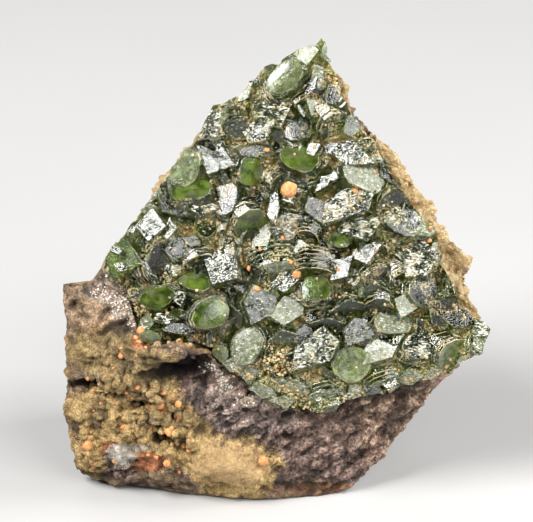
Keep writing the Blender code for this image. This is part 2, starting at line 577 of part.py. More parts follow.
def stand_on_origin():
    """Carries every piece and cutter on one empty, so that the origin is below the specimen's middle."""
    carrier = bpy.data.objects.new("specimen_origin", None)
    carrier.location = ORIGIN_SHIFT * MM
    bpy.context.scene.collection.objects.link(carrier)
    for obj in list(bpy.data.objects):
        if obj != carrier:
            obj.parent = carrier


def main():
    clear_scene()
    parts = new_collection(NAME)
    cutters = new_collection("cutters")
    frame = face_frame()
    rock = build_matrix(parts, cutters, frame)
    crust = build_crust(parts, cutters, frame)
    build_grains(parts, rock, crust)
    stand_on_origin()


main()
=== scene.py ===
"""The looks of a ludlamite specimen: green crystals on a brown rock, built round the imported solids.

Axes: +Z up, +Y towards the back of the rock, +X to the right of someone who looks at the crystals.
Tables are in millimetres and are multiplied by MM. A place on the seat, the leaning plane that the
crystals grow on, is (across, up, out). A place on the front of the rock is (side, rise): millimetres
to the right, and millimetres up as seen from a little above.
"""
import itertools
import json
import math
import random

import bmesh
import bpy
import numpy as np
from mathutils import Euler, Matrix, Vector
from mathutils.bvhtree import BVHTree

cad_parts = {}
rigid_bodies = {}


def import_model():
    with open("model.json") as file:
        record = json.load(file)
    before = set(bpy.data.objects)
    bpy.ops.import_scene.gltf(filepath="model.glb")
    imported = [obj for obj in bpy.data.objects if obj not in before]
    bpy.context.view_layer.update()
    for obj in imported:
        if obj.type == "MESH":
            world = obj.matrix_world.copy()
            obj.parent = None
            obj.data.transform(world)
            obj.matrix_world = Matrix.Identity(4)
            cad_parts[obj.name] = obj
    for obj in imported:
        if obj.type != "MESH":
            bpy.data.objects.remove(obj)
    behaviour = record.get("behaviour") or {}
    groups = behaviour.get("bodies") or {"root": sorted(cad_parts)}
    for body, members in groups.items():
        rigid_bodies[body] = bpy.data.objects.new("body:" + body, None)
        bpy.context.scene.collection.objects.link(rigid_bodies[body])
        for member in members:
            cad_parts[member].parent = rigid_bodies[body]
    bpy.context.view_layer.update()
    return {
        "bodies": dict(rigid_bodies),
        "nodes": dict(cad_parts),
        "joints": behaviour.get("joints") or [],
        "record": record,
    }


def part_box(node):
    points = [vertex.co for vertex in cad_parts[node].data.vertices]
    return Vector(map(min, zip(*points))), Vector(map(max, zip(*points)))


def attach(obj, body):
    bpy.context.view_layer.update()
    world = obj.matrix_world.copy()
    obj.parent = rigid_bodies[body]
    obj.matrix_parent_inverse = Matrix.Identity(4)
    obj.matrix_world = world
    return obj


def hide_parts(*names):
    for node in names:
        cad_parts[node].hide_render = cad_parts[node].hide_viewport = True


MM = 0.001

# The specimen's own frame, as in its CAD source.
SEAT_LEAN = math.radians(22.0)
SEAT_FOOT = Vector((0.0, -13.6, 15.0))
SEAT_UP = (0.0, math.sin(SEAT_LEAN), math.cos(SEAT_LEAN))
SEAT_OUT = (0.0, -math.cos(SEAT_LEAN), math.sin(SEAT_LEAN))
ORIGIN_SHIFT = Vector((0.67, 0.50, 0.0))
GRAIN_COUNT = 7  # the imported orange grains
# The front is looked at along FRONT_VIEW, and a place's rise is measured along FRONT_RISE.
FRONT_VIEW = (0.0, 0.9063, -0.4226)
FRONT_RISE = (0.0, 0.4226, 0.9063)
# How far off the rays start that find the surfaces, from the front and from the seat.
FRONT_PROBE = 80.0
SEAT_PROBE = 20.0

# The camera and the studio. The camera's target is in millimetres, and the other lengths are in metres.
CAMERA_ELEVATION = math.radians(25.0)
CAMERA_DISTANCE = 0.45
CAMERA_TARGET = Vector((-0.66, -5.4, 33.7))
CAMERA_LENS = 216.0
LIGHT_TARGET = Vector((0.0, 0.0, 0.03))
# Area lights: name, direction, distance and sides in metres, power.
LIGHTS = (
    ("key", (-0.55, -0.38, 0.75), 0.62, (0.30, 0.30), 5.8),
    ("fill", (0.50, -0.63, 0.58), 0.75, (0.50, 0.50), 4.5),
    ("side", (0.85, 0.02, 0.55), 0.8, (0.40, 0.40), 7.0),
    ("back", (-0.3, 0.85, 0.6), 0.9, (0.5, 0.3), 1.2),
)
WORLD_COLOUR = (0.75, 0.80, 0.88, 1.0)
WORLD_STRENGTH = 0.05
FLOOR_HALF = 3.0
FLOOR_COLOURS = ((0.47, 0.465, 0.455), (0.50, 0.495, 0.485))
FLOOR_ROUGHNESS = 0.75

# The glass of the crystals; the density is per metre.
CRYSTAL_IOR = 1.66
ABSORPTION_COLOUR = (0.60, 0.67, 0.0, 1.0)
ABSORPTION_DENSITY = 640.0

# The crust's outline on the seat, as (across, up) from the apex clockwise.
CRUST_OUTLINE = (
    (6.4, 51.4), (8.4, 46.0), (9.6, 42.0), (13.8, 36.4), (17.4, 29.8), (21.4, 24.8), (23.4, 18.8),
    (25.8, 13.8), (29.9, 11.2), (28.6, 7.6), (23.0, 4.4), (16.6, 2.8), (10.0, 0.8), (7.0, -1.0),
    (1.6, -0.2), (-2.8, 1.9), (-6.8, 5.2), (-9.2, 8.5), (-12.6, 9.3), (-18.4, 9.0), (-19.4, 12.2),
    (-20.2, 15.8), (-23.4, 18.0), (-23.8, 21.4), (-20.6, 24.4), (-16.2, 29.8), (-11.8, 36.6),
    (-8.4, 41.8), (-4.4, 43.8), (-1.8, 46.8),
)
SEAT_GAP = 0.1
CRUST_THICKNESS = 1.2
CRUST_SHARP_ANGLE = math.radians(24.0)
# The crystals are broken off round the crust: the spacing and the unevenness of the break's corners, and how
# far it flares outwards up to its top.
BREAK_STEP = 1.3
BREAK_JITTER = 0.45
BREAK_FLARE = 1.5
BREAK_TOP = 9.0
BREAK_SEED = 12
# The crust's border is free of ochre: how wide the change to the full coat is, and how far in it starts, as
# a share of that width.
COAT_BORDER = 1.5
COAT_START = 0.6

# Habits: plates, narrowing from first to last, fan in degrees, fewest and most corners, rounds of
# corner cutting, unevenness of the corners, bevel, crown of the top as a share of the height.
HABITS = {
    "block": (3, 0.08, 4.0, 4, 5, 0, 0.28, 0.035, 0.0),
    "terrace": (6, 0.26, 14.0, 5, 7, 1, 0.22, 0.035, 0.14),
    "book": (8, 0.12, 26.0, 5, 7, 1, 0.16, 0.022, 0.0),
    "lens": (5, 0.26, 9.0, 7, 9, 1, 0.08, 0.05, 0.26),
}
GROWTH = (1.28, 1.28, 1.35)  # how far the crystals grow into each other, as factors on the sizes below
ROOT = 1.6  # how far a crystal's first plate reaches down towards the rock
PLATE_JITTER = 0.03  # how unevenly a crystal's plates narrow
PLATE_OVERLAP = 1.2  # a plate's height in spacings of the plates, so that they grow into each other
CORNER_JITTER = 0.16  # how far a plate's corners stray, as a share of the angle between them

# Skins of a crystal's top: clear, dark, etched, frosted, glossy, broken, pale and vivid. Plates also have an
# edge, and those of a book a golden line along it. Each skin comes in a few tones.
SKINS = ("c", "d", "e", "f", "g", "b", "p", "v", "edge", "line")
TONES = 4

# The crystals: habit, skin, across, up, half length, half width, height, lean right, lean up, spin, rise.
CRYSTALS = (
    # the apex
    ("block", "g", 7.0, 49.4, 1.5, 1.3, 1.8, 10, 15, 20, 1.6),
    ("terrace", "f", 3.6, 48.6, 3.2, 1.6, 1.8, -18, 26, 32, 1.4),
    ("lens", "p", 1.2, 46.0, 3.3, 2.3, 2.4, -12, 16, 38, 2.6),
    ("block", "b", 5.6, 46.2, 1.0, 2.2, 2.0, 12, -6, -14, 1.7),
    ("block", "g", 4.8, 44.8, 1.3, 1.5, 1.8, -18, 18, 30, 1.9),
    ("book", "d", 4.0, 43.4, 2.6, 1.8, 2.2, 24, -30, 15, 1.2),
    ("block", "f", -4.0, 43.8, 2.2, 1.6, 1.8, -26, 22, 40, 1.2),
    ("block", "g", -2.4, 45.6, 1.4, 1.0, 1.4, -30, 18, 30, 1.5),
    ("block", "c", 7.8, 43.2, 1.6, 1.9, 2.0, 30, 10, -10, 1.5),
    # the upper field
    ("block", "e", -0.6, 41.0, 3.0, 2.0, 2.4, 6, 20, 8, 1.8),
    ("block", "e", -2.2, 38.0, 2.0, 1.6, 2.4, -17, 19, 24, 2.2),
    ("terrace", "c", -5.2, 39.6, 2.6, 2.2, 2.6, 20, -12, -20, 1.5),
    ("block", "e", -8.8, 38.8, 2.1, 2.4, 2.4, -30, 16, 50, 1.3),
    ("terrace", "d", -9.6, 36.2, 2.4, 2.0, 2.4, -32, -6, 60, 1.3),
    ("block", "g", -7.4, 34.4, 3.1, 2.2, 2.6, -15, 14, -24, 2.3),
    ("block", "g", -3.6, 35.6, 2.4, 0.9, 2.2, 12, 10, 10, 2.2),
    ("terrace", "v", -4.8, 32.8, 2.8, 2.6, 2.8, 26, 4, 60, 1.9),
    ("book", "c", 7.2, 40.2, 3.0, 2.6, 3.0, 12, -38, 82, 1.8),
    ("terrace", "d", 3.0, 38.6, 2.6, 1.8, 2.4, -12, 30, 24, 1.8),
    ("block", "g", 10.0, 39.0, 1.8, 1.4, 2.0, 16, 10, 60, 1.9),
    ("terrace", "v", 3.4, 33.8, 3.2, 2.9, 3.0, 4, 42, 2, 2.3),
    ("block", "e", 10.2, 35.4, 3.2, 2.1, 2.4, -16, 18, -18, 1.8),
    ("block", "g", 5.4, 35.8, 1.3, 1.0, 2.0, -18, 19, 30, 2.4),
    ("terrace", "f", 12.2, 32.4, 3.4, 2.9, 2.8, 18, 22, -50, 1.6),
    ("block", "g", 15.2, 33.0, 2.2, 1.7, 2.2, 34, 8, -48, 1.4),
    ("block", "g", 7.2, 30.9, 1.5, 0.7, 2.6, -18, 18, 42, 2.6),
    ("block", "g", 8.5, 31.7, 0.8, 0.6, 2.4, -17, 19, 40, 2.9),
    ("block", "d", 4.6, 30.8, 2.1, 1.6, 2.2, 22, -26, 20, 1.4),
    ("book", "p", -12.4, 33.2, 2.8, 2.2, 2.8, -30, 18, 30, 1.6),
    ("terrace", "v", -12.0, 29.8, 3.2, 2.4, 2.8, -4, 44, 14, 2.0),
    ("block", "f", -16.8, 29.8, 2.0, 1.5, 2.0, -36, 10, 50, 1.0),
    ("block", "c", -15.4, 27.8, 2.2, 1.8, 2.6, 18, 24, -30, 1.8),
    # the left shoulder
    ("block", "g", -17.0, 25.0, 2.5, 1.9, 2.4, -18, 18, -14, 2.2),
    ("block", "g", -14.4, 24.4, 0.9, 1.7, 2.4, -18, 19, -10, 2.3),
    ("block", "d", -16.4, 21.6, 3.0, 2.6, 2.8, 24, -22, 30, 1.5),
    ("block", "v", -21.4, 20.4, 2.5, 2.8, 3.4, -12, 8, -24, 2.2),
    ("block", "g", -21.0, 19.3, 1.0, 0.75, 2.4, -18, 18, -30, 3.9),
    ("block", "g", -21.6, 21.6, 1.1, 0.45, 2.4, -19, 17, -16, 3.6),
    ("book", "e", -18.8, 19.4, 2.1, 2.6, 3.0, 40, 6, 80, 1.8),
    ("block", "e", -11.0, 27.8, 2.9, 1.2, 2.4, 4, 24, -4, 2.0),
    ("block", "g", -14.0, 22.2, 2.0, 1.5, 2.2, 14, 12, 40, 2.3),
    ("block", "g", -12.0, 23.0, 1.3, 1.1, 2.0, 15, 10, -20, 2.2),
    ("terrace", "e", -14.2, 19.4, 2.3, 1.9, 2.2, -12, 22, 30, 1.3),
    ("book", "d", -10.6, 21.2, 2.6, 2.2, 2.8, 24, -34, -30, 1.3),
    ("block", "d", -12.8, 26.0, 2.0, 1.6, 2.2, 30, 30, 10, 1.1),
    # the middle
    ("book", "d", -6.6, 28.6, 2.6, 2.0, 2.8, -34, 26, 50, 1.6),
    ("book", "v", -4.2, 26.4, 3.0, 2.8, 3.0, 8, -36, 84, 1.9),
    ("block", "e", -7.2, 19.6, 3.0, 2.5, 2.6, -17, 18, 60, 2.4),
    ("block", "g", 0.2, 27.6, 1.1, 2.2, 2.6, -18, 18, -8, 2.5),
    ("block", "e", 1.4, 25.6, 2.6, 2.1, 2.6, 10, -20, 30, 1.8),
    ("block", "e", 2.7, 29.4, 1.7, 1.3, 2.2, -20, 20, 10, 1.9),
    ("block", "g", 5.0, 27.4, 1.9, 2.2, 2.4, 16, 10, 22, 2.3),
    ("book", "d", 4.4, 24.4, 2.6, 1.9, 2.6, -28, -34, 56, 1.7),
    ("block", "e", 10.4, 28.2, 3.8, 2.0, 2.6, -12, 20, 20, 2.2),
    ("block", "e", 11.6, 24.8, 3.1, 2.0, 2.6, -10, 26, 18, 1.8),
    ("book", "d", 16.2, 28.4, 3.0, 2.4, 2.8, 36, -16, -62, 1.4),
    ("terrace", "c", 17.6, 25.4, 3.4, 2.3, 2.8, 22, 30, -14, 1.9),
    ("terrace", "v", 8.4, 22.8, 2.2, 2.0, 2.8, 10, 34, 70, 1.8),
    ("terrace", "f", -0.6, 20.8, 3.3, 2.6, 3.0, 4, -40, 4, 2.1),
    ("book", "c", 5.4, 20.2, 3.3, 2.5, 3.2, -6, -48, 10, 2.1),
    ("block", "g", 9.4, 19.0, 1.9, 1.5, 2.4, -18, 18, 44, 2.5),
    ("block", "g", 13.2, 21.4, 2.4, 1.3, 2.4, -18, 18, 14, 2.4),
    ("terrace", "d", 13.2, 19.0, 3.0, 2.4, 2.8, 18, -18, 20, 1.7),
    ("book", "d", 17.0, 19.2, 2.6, 2.0, 2.6, 20, -40, 24, 1.3),
    ("block", "e", 20.2, 20.4, 2.4, 2.7, 2.4, -10, 22, 12, 1.7),
    ("block", "f", 22.2, 21.4, 1.4, 1.9, 2.0, 28, 10, -20, 1.1),
    ("terrace", "d", 19.8, 16.0, 3.2, 2.7, 3.0, 24, 20, 30, 1.7),
    ("block", "d", 22.4, 13.4, 2.6, 2.5, 2.6, 30, -8, -40, 1.3),
    ("block", "f", 18.2, 14.2, 1.7, 2.2, 2.6, 14, 12, -30, 2.1),
    ("book", "d", 14.2, 14.8, 2.8, 2.2, 2.8, -20, -38, 60, 1.7),
    ("block", "d", 10.4, 14.8, 3.1, 2.0, 2.6, 8, -34, 12, 1.9),
    ("terrace", "v", 5.6, 16.2, 2.8, 2.5, 3.0, -8, 30, 20, 2.0),
    ("block", "e", 1.6, 17.0, 2.0, 1.7, 2.4, -14, 20, 10, 1.9),
    ("block", "g", -2.6, 14.2, 2.5, 2.2, 2.8, 15, 11, 32, 2.6),
    ("block", "d", -4.8, 16.4, 2.2, 1.8, 2.2, 26, 30, -30, 1.3),
    ("block", "d", -5.8, 13.0, 2.4, 2.2, 2.4, -24, -26, 20, 1.3),
    ("block", "f", 1.8, 13.2, 2.5, 2.1, 2.6, 10, 22, 40, 1.7),
    # the foot of the crust
    ("block", "g", 1.2, 10.6, 2.3, 1.3, 2.4, 6, -34, 4, 2.1),
    ("block", "e", 6.2, 7.8, 3.6, 2.4, 2.8, -15, 17, 18, 2.2),
    ("block", "g", 11.0, 10.6, 2.3, 1.6, 2.4, 14, 11, 28, 2.2),
    ("block", "d", 7.6, 12.0, 2.4, 1.8, 2.4, -8, -30, 20, 1.6),
    ("terrace", "d", 3.8, 10.0, 2.2, 1.9, 2.4, 24, 10, -30, 1.4),
    ("book", "f", 15.8, 11.2, 2.8, 2.0, 2.6, 10, 44, 8, 1.7),
    ("block", "f", 15.2, 7.6, 3.4, 1.8, 2.6, -14, 22, 32, 1.9),
    ("book", "p", 10.4, 5.8, 2.4, 2.5, 2.8, -10, 18, 70, 1.9),
    ("book", "b", 14.4, 4.2, 2.8, 2.1, 2.6, 12, -44, 30, 1.3),
    ("terrace", "e", 19.4, 8.2, 3.3, 2.3, 2.8, 10, 30, 30, 1.7),
    ("book", "p", 23.4, 8.0, 2.8, 2.6, 2.8, 24, -30, 70, 1.4),
    ("terrace", "b", 28.0, 9.2, 2.6, 2.3, 2.6, 24, 14, 60, 1.4),
    ("block", "e", 28.7, 10.5, 1.7, 1.3, 2.2, -4, 16, 30, 2.0),
    ("block", "b", 25.8, 6.6, 2.4, 1.6, 2.2, 22, -30, 20, 1.2),
    ("block", "d", 24.8, 12.2, 2.2, 1.8, 2.2, 20, 34, -30, 1.1),
    ("lens", "f", -4.0, 8.6, 3.2, 2.5, 2.6, -16, 6, 66, 2.2),
    ("book", "d", -1.8, 7.6, 2.6, 1.6, 2.2, 40, -10, 64, 1.4),
    ("block", "d", 1.4, 6.8, 2.4, 2.0, 2.2, 12, -28, -20, 1.2),
    ("block", "b", 2.4, 3.4, 2.6, 1.7, 2.2, -10, -36, -14, 1.0),
    ("terrace", "b", 6.8, 2.6, 3.0, 1.7, 2.4, 4, -34, 6, 1.2),
    ("block", "b", 10.8, 2.8, 2.2, 1.6, 2.2, 16, -34, 30, 1.0),
    ("block", "f", -3.2, 4.8, 1.8, 1.4, 1.8, -18, -24, -40, 1.1),
    ("block", "b", -5.6, 6.0, 1.6, 1.2, 1.8, -20, -20, 20, 1.6),
    ("block", "f", -1.4, 2.8, 1.8, 1.3, 2.0, -10, -30, -20, 1.8),
    ("block", "b", 0.6, 1.2, 1.7, 1.2, 1.8, 6, -30, 10, 1.7),
    ("book", "p", -7.4, 7.6, 1.3, 1.2, 1.8, -30, -10, 50, 1.6),
    ("block", "b", 18.4, 4.8, 2.6, 1.6, 2.2, 8, -38, 12, 1.1),
    ("block", "b", 22.0, 5.4, 2.2, 1.5, 2.2, 20, -30, 24, 1.0),
    # the lower left, where the crystals stand free of each other
    ("lens", "v", -9.8, 13.2, 3.3, 2.5, 3.6, 8, 10, 24, 3.0),
    ("terrace", "v", -16.2, 15.8, 2.8, 1.9, 3.0, -8, 6, 10, 2.9),
    ("block", "e", -13.8, 15.8, 1.1, 1.1, 2.4, 10, -10, 20, 3.3),
    ("block", "v", -14.6, 13.6, 1.8, 1.3, 2.4, 4, -30, 10, 1.8),
    ("terrace", "v", -11.2, 17.0, 2.8, 1.9, 2.6, 4, 40, -24, 1.9),
    ("block", "e", -15.2, 12.2, 1.7, 0.9, 2.6, -4, 12, -4, 3.0),
    ("block", "g", -13.9, 10.9, 1.9, 0.8, 2.4, 14, 10, -6, 2.8),
    ("block", "f", -17.8, 12.1, 1.0, 1.0, 2.4, -10, -4, 10, 2.7),
    ("lens", "p", -17.6, 10.4, 1.8, 1.1, 2.4, -5, -8, -14, 2.6),
    ("block", "d", -7.0, 10.8, 2.4, 1.9, 2.2, 26, -20, 60, 1.4),
)

# Small crystals fill what the ones above leave free, on a grid that is shaken up.
FILL_COLUMNS = range(-13, 16)
FILL_ROWS = range(26)
FILL_STEP = 2.0
FILL_JITTER = 0.7
FILL_ROOM = 1.5
FILL_SIZE = (1.2, 2.1)
FILL_WIDTH = 0.75  # as a share of the length
FILL_HEIGHT = 1.1
FILL_LEAN = 50.0
FILL_RISE = (0.9, 1.9)
FILL_SEED = 12
FILL_SKINS = "cddefgc"

# Ochre grains between the crystals: places tried and their range on the seat, radii, the height up to which
# they lie everywhere, and the share of the higher places that they take.
CRUMB_TRIES = 14000
CRUMB_ACROSS = (-24.0, 29.0)
CRUMB_UP = (-1.0, 51.0)
CRUMB_RADIUS = (0.07, 0.24)
CRUMB_HEIGHT = 2.3
CRUMB_LUCK = 0.02
CRUMB_OUT = 0.3  # how far a grain's centre stands out of the surface, in radii
CRUMB_UNEVENNESS = 0.5
CRUMB_SEED = 31
# The patch where they lie thick: across, up and radius, then what it adds to that height and that share.
CRUMB_PATCH = (-0.6, 6.2, 3.2)
PATCH_HEIGHT = 2.5
PATCH_LUCK = 0.3

GRAIN_SQUASH = 0.35  # how unequal the three widths of any grain are
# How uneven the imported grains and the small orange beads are, then the beads: side and rise on the front,
# radius.
GRAIN_UNEVENNESS = 0.16
SPECK_UNEVENNESS = 0.35
SPECKS = (
    (-21.6, 20.6, 0.42), (-21.7, 21.6, 0.25), (-19.3, 20.7, 0.32), (-22.1, 16.0, 0.35), (-21.0, 15.3, 0.25),
    (-23.7, 17.6, 0.28), (-22.8, 18.8, 0.20), (-19.5, 16.1, 0.40), (-15.8, 15.3, 0.42), (-16.2, 13.4, 0.45),
    (-15.3, 12.2, 0.24), (-26.5, 17.2, 0.26), (-25.8, 15.5, 0.26), (-24.8, 13.7, 0.22), (-22.4, 13.7, 0.20),
    (-25.8, 12.6, 0.22), (-21.6, 10.4, 0.36), (-20.9, 8.5, 0.28), (-15.1, 9.8, 0.60), (-15.6, 9.3, 0.45),
    (-14.7, 10.3, 0.40), (-12.3, 10.6, 0.36), (-28.1, 5.9, 0.45), (-28.3, 6.5, 0.30), (-26.0, 4.5, 0.40),
    (-26.3, 3.9, 0.30), (-13.0, 7.7, 0.40), (-12.3, 7.0, 0.42), (-12.5, 7.6, 0.30), (-16.9, 6.0, 0.35),
    (-18.1, 6.3, 0.26), (-23.0, 5.3, 0.26), (-13.7, 3.8, 0.26), (-19.6, 23.0, 0.40), (-19.2, 22.5, 0.35),
    (-18.3, 22.3, 0.40), (-17.9, 22.0, 0.40), (-18.2, 21.7, 0.30), (-1.3, 49.3, 0.35), (-3.8, 32.8, 0.32),
    (-2.7, 29.9, 0.40), (-2.2, 35.4, 0.30), (2.0, 33.7, 0.34), (0.9, 37.0, 0.32), (11.1, 43.5, 0.36),
    (8.7, 32.6, 0.24), (8.4, 29.0, 0.24), (13.7, 46.2, 0.26), (24.0, 26.6, 0.20),
    (21.6, 38.4, 0.30), (21.4, 36.7, 0.34), (18.4, 45.2, 0.24), (23.0, 35.2, 0.22), (24.8, 33.0, 0.20),
)

# Bright little crystals that stick out of the rock beside the crust: places tried and their range on the
# front, half widths, and the reach of their tips in half widths.
DRUSE_TRIES = 3900
DRUSE_SIDES = (-26.0, -2.0)
DRUSE_RISES = (12.0, 34.0)
DRUSE_TIP = 1.6
DRUSE_SIZE = (0.05, 0.17)
DRUSE_SEED = 77

# Round knobs on the rock's front: zone, places tried, radii, then the range of their sides and rises.
NODULES = (
    ("nodular", 620, (0.28, 0.85), (-29.0, -10.0), (3.0, 24.0)),
    ("gritty", 2600, (0.12, 0.36), (8.0, 31.0), (22.0, 60.0)),
)
NODULE_IN = 0.25  # how far a knob's centre lies inside the rock, in radii
NODULE_UNEVENNESS = 0.22
NODULE_SEED = 5

# The rock: how finely it is meshed, then its roughness as (lump size, height, seed).
ROCK_VOXEL = 0.28
ROCK_SOFTENING = 8
ROCK_KEPT = 0.60  # the share of the fine mesh's faces that is kept
ROCK_LUMPS = ((5.0, 0.55, 1), (2.2, 0.40, 2), (1.0, 0.24, 3))
# The foot keeps its packed form up to a height, and the roughness sets in over the next bit.
FLAT_FOOT = 0.25
FOOT_BORDER = 0.8
# The hollows' painted shadow deepens with their depth:
DARKEST_PIT = 2.6  # the depth at which a hollow is darkest
# The pale rim round the crust, whose lightness is partly painted light: how far behind the seat it reaches,
# and the height that it starts at.
RIM_DEPTH = 4.6
RIM_FOOT = 17.0
# Painted shade darkens the rock under the crust, up to this depth behind the seat:
UNDER_DEPTH = 1.2  # how far behind the seat the rock under the crust is dark

# Zones of the rock's front as ellipses: side, rise, half width, half height.
ZONES = {
    "nodular": (
        (-22.0, 16.6, 3.4, 2.8), (-18.4, 14.4, 2.6, 2.4), (-14.6, 11.4, 3.2, 2.8), (-20.6, 10.2, 3.4, 2.0),
        (-26.5, 6.0, 2.4, 2.2), (-13.4, 7.4, 2.2, 1.8), (-25.4, 15.6, 2.0, 1.2), (-15.2, 21.6, 4.6, 1.4),
        (-27.0, 8.6, 1.4, 2.4),
    ),
    "ochre": (
        (-5.6, 4.6, 6.6, 4.4), (-25.0, 11.4, 5.6, 5.0), (-13.6, 8.4, 4.4, 5.0), (-20.0, 15.0, 6.0, 4.0),
        (-22.0, 8.4, 8.0, 2.4), (-26.8, 5.6, 2.6, 3.0),
    ),
    "gritty": (
        (13.0, 53.5, 1.6, 3.0), (15.4, 49.8, 1.6, 3.0), (18.0, 46.0, 1.8, 3.0), (20.4, 42.6, 1.8, 3.0),
        (22.8, 38.6, 2.2, 3.0), (24.8, 34.8, 2.4, 3.0), (26.4, 30.6, 1.8, 3.0), (27.8, 27.0, 1.2, 3.0),
    ),
    "olive": (
        (-23.6, 20.6, 7.0, 3.4), (-19.6, 16.6, 4.0, 3.0), (-16.6, 20.6, 3.2, 1.0), (-14.4, 12.2, 3.4, 2.0),
    ),
    "smooth": ((-6.2, 5.4, 4.8, 3.0),),
    "dusky": (
        (-7.0, 14.4, 6.6, 3.8), (0.0, 11.6, 8.0, 5.6), (8.0, 9.0, 11.0, 8.6), (16.6, 11.0, 10.0, 9.4),
        (-22.5, 3.6, 2.4, 1.2), (-12.4, 18.4, 4.4, 2.6), (28.0, 31.8, 0.8, 1.8),
    ),
    # a lighter purplish-grey patch, painted light where the crust's shadow falls
    "lit_mauve": ((-3.4, 12.0, 6.0, 3.0), (-8.6, 14.6, 3.4, 1.6)),
    "brown": ((19.0, 12.0, 7.4, 8.6), (26.0, 19.0, 6.0, 6.0), (28.0, 31.8, 0.8, 1.8)),
    "rust": ((-18.0, 5.2, 2.4, 1.4), (-23.4, 7.5, 1.5, 0.8), (-18.8, 22.5, 1.3, 0.7)),
    "russet": ((5.5, 1.2, 6.0, 0.9),),
    "druse": (
        (-24.0, 29.4, 2.8, 1.3), (-20.4, 28.4, 3.4, 2.8), (-18.4, 26.0, 2.6, 2.6), (-22.0, 31.6, 2.6, 2.0),
        (-8.8, 18.6, 1.8, 1.2), (-7.0, 16.6, 1.4, 1.2), (-4.6, 14.2, 1.4, 0.9),
    ),
    "silver": ((-22.2, 6.2, 2.2, 1.5), (-19.2, 7.3, 1.2, 0.3)),
    "grey": ((-25.6, 27.4, 4.8, 3.4), (-27.4, 29.8, 3.6, 2.6), (-14.6, 22.8, 5.0, 0.9)),
}
# The colours of the zones and of the rim, from the darkest to the lightest. A later one covers those before.
ZONE_COLOURS = (
    ("grey", (0.62, 0.41, 0.24), (1.0, 0.70, 0.43)),
    ("dusky", (0.19, 0.12, 0.095), (0.56, 0.385, 0.305)),
    # painted light: coloured lighter than the rock's own purplish grey, to lift the crust's shadow
    ("lit_mauve", (0.34, 0.25, 0.215), (0.92, 0.70, 0.60)),
    # partly painted light: coloured lighter than the rock's own reddish brown where it faces away from the
    # lamps below the crust
    ("brown", (0.34, 0.20, 0.14), (1.0, 0.72, 0.53)),
    ("ochre", (0.56, 0.375, 0.14), (0.95, 0.65, 0.29)),
    ("olive", (0.36, 0.25, 0.10), (0.68, 0.475, 0.215)),
    ("smooth", (0.57, 0.37, 0.165), (0.72, 0.475, 0.22)),
    # partly painted light: the rim is coloured lighter than its own tan, as if strongly lit from the right
    ("rim", (0.62, 0.42, 0.18), (0.97, 0.73, 0.41)),
    ("rust", (0.36, 0.125, 0.05), (0.80, 0.32, 0.13)),
    ("russet", (0.26, 0.125, 0.06), (0.60, 0.31, 0.15)),
    ("druse", (0.40, 0.28, 0.19), (0.76, 0.60, 0.46)),
    # partly painted light: the silvery patch is coloured lighter to lift the shadow of the ledge above it
    ("silver", (0.66, 0.57, 0.46), (1.0, 0.92, 0.81)),
)
# Hollows and swellings of the front: side, rise, half width, half height, depth into the rock.
PITS = (
    (-16.0, 17.7, 2.4, 0.7, 2.0), (-13.0, 18.7, 2.8, 0.9, 2.8), (-11.0, 19.9, 2.0, 0.9, 2.0),
    (-27.3, 16.6, 1.1, 0.30, 0.8), (-22.4, 6.3, 1.9, 1.1, -0.9), (-21.2, 5.5, 0.5, 0.5, 0.5),
    (-23.0, 15.0, 1.9, 0.28, 1.3), (-18.6, 13.6, 1.7, 0.8, 1.3), (-17.8, 14.3, 1.1, 0.95, -1.4),
    (-20.4, 21.1, 0.6, 0.3, 1.2), (-22.1, 12.7, 0.5, 0.4, 1.3), (-22.2, 11.1, 1.2, 0.28, 1.2),
    (-20.0, 11.4, 1.2, 0.32, 1.3), (-21.8, 9.9, 1.5, 0.9, -1.0), (-15.8, 8.5, 1.2, 0.65, 3.0),
    (-22.8, 17.4, 1.5, 1.4, -1.2), (-20.6, 17.0, 0.7, 0.6, -0.9), (-24.8, 16.0, 0.8, 0.7, -0.8),
    (-17.6, 15.6, 0.7, 0.6, -0.8), (-20.6, 18.0, 0.9, 0.3, 1.1), (-27.9, 27.3, 0.45, 0.7, 1.0),
    (-23.2, 26.6, 0.6, 0.4, 0.9), (-15.2, 21.6, 4.8, 1.7, -1.3),
    (-21.8, 24.7, 1.6, 0.7, 0.4), (14.0, 15.4, 8.0, 1.2, 1.3), (-26.4, 3.2, 3.4, 1.2, 0.9),
    (-6.4, 6.4, 4.4, 2.2, -0.5), (-18.2, 11.2, 0.35, 0.8, 1.2), (-26.0, 19.2, 2.4, 0.35, 0.6),
    (22.6, 37.4, 0.5, 0.8, 0.9), (26.4, 32.4, 0.6, 0.5, 0.9), (27.6, 30.4, 0.5, 0.4, 0.7),
    (19.4, 44.2, 0.4, 0.6, 0.8), (24.6, 34.6, 0.4, 0.4, 0.7),
)
# How far the rock's left and right sides are moved to the right at each rise. The left side's move grows
# from LEFT_START outwards.
LEFT_START = -21.0
LEFT_SIDE = (
    (0.0, 0.0), (8.0, 0.2), (16.0, 0.7), (22.0, 0.3), (26.0, -0.6), (31.0, -0.9), (36.0, 0.0),
)
RIGHT_SIDE = (
    (20.0, 0.0), (24.5, 1.0), (28.3, -1.5), (32.1, -0.9), (34.2, -0.3), (36.6, -1.0), (39.5, -1.0),
    (42.3, 0.3), (46.1, -1.5), (50.0, -1.2), (60.0, -1.3), (63.0, -0.6),
)
# The same for the rock's top, to the left of the crust's right border.
TOP_SIDE = ((56.0, 0.0), (60.0, 1.0), (63.0, 1.6))
# The rock's broken left shoulder: side, greatest rise.
SHOULDER = ((-30.0, 30.5), (-26.3, 30.7), (-25.8, 31.1), (-24.9, 32.5), (-23.9, 35.0), (-22.0, 60.0))
CRUST_SIDE = (9.6, 55.6, 0.609)  # the crust's right border on the front: side at a rise, and its slope
PIT_BORDER = 0.7  # the width of the slope at the edge of a hollow
SWELLING_BORDER = 1.2  # the same for a swelling
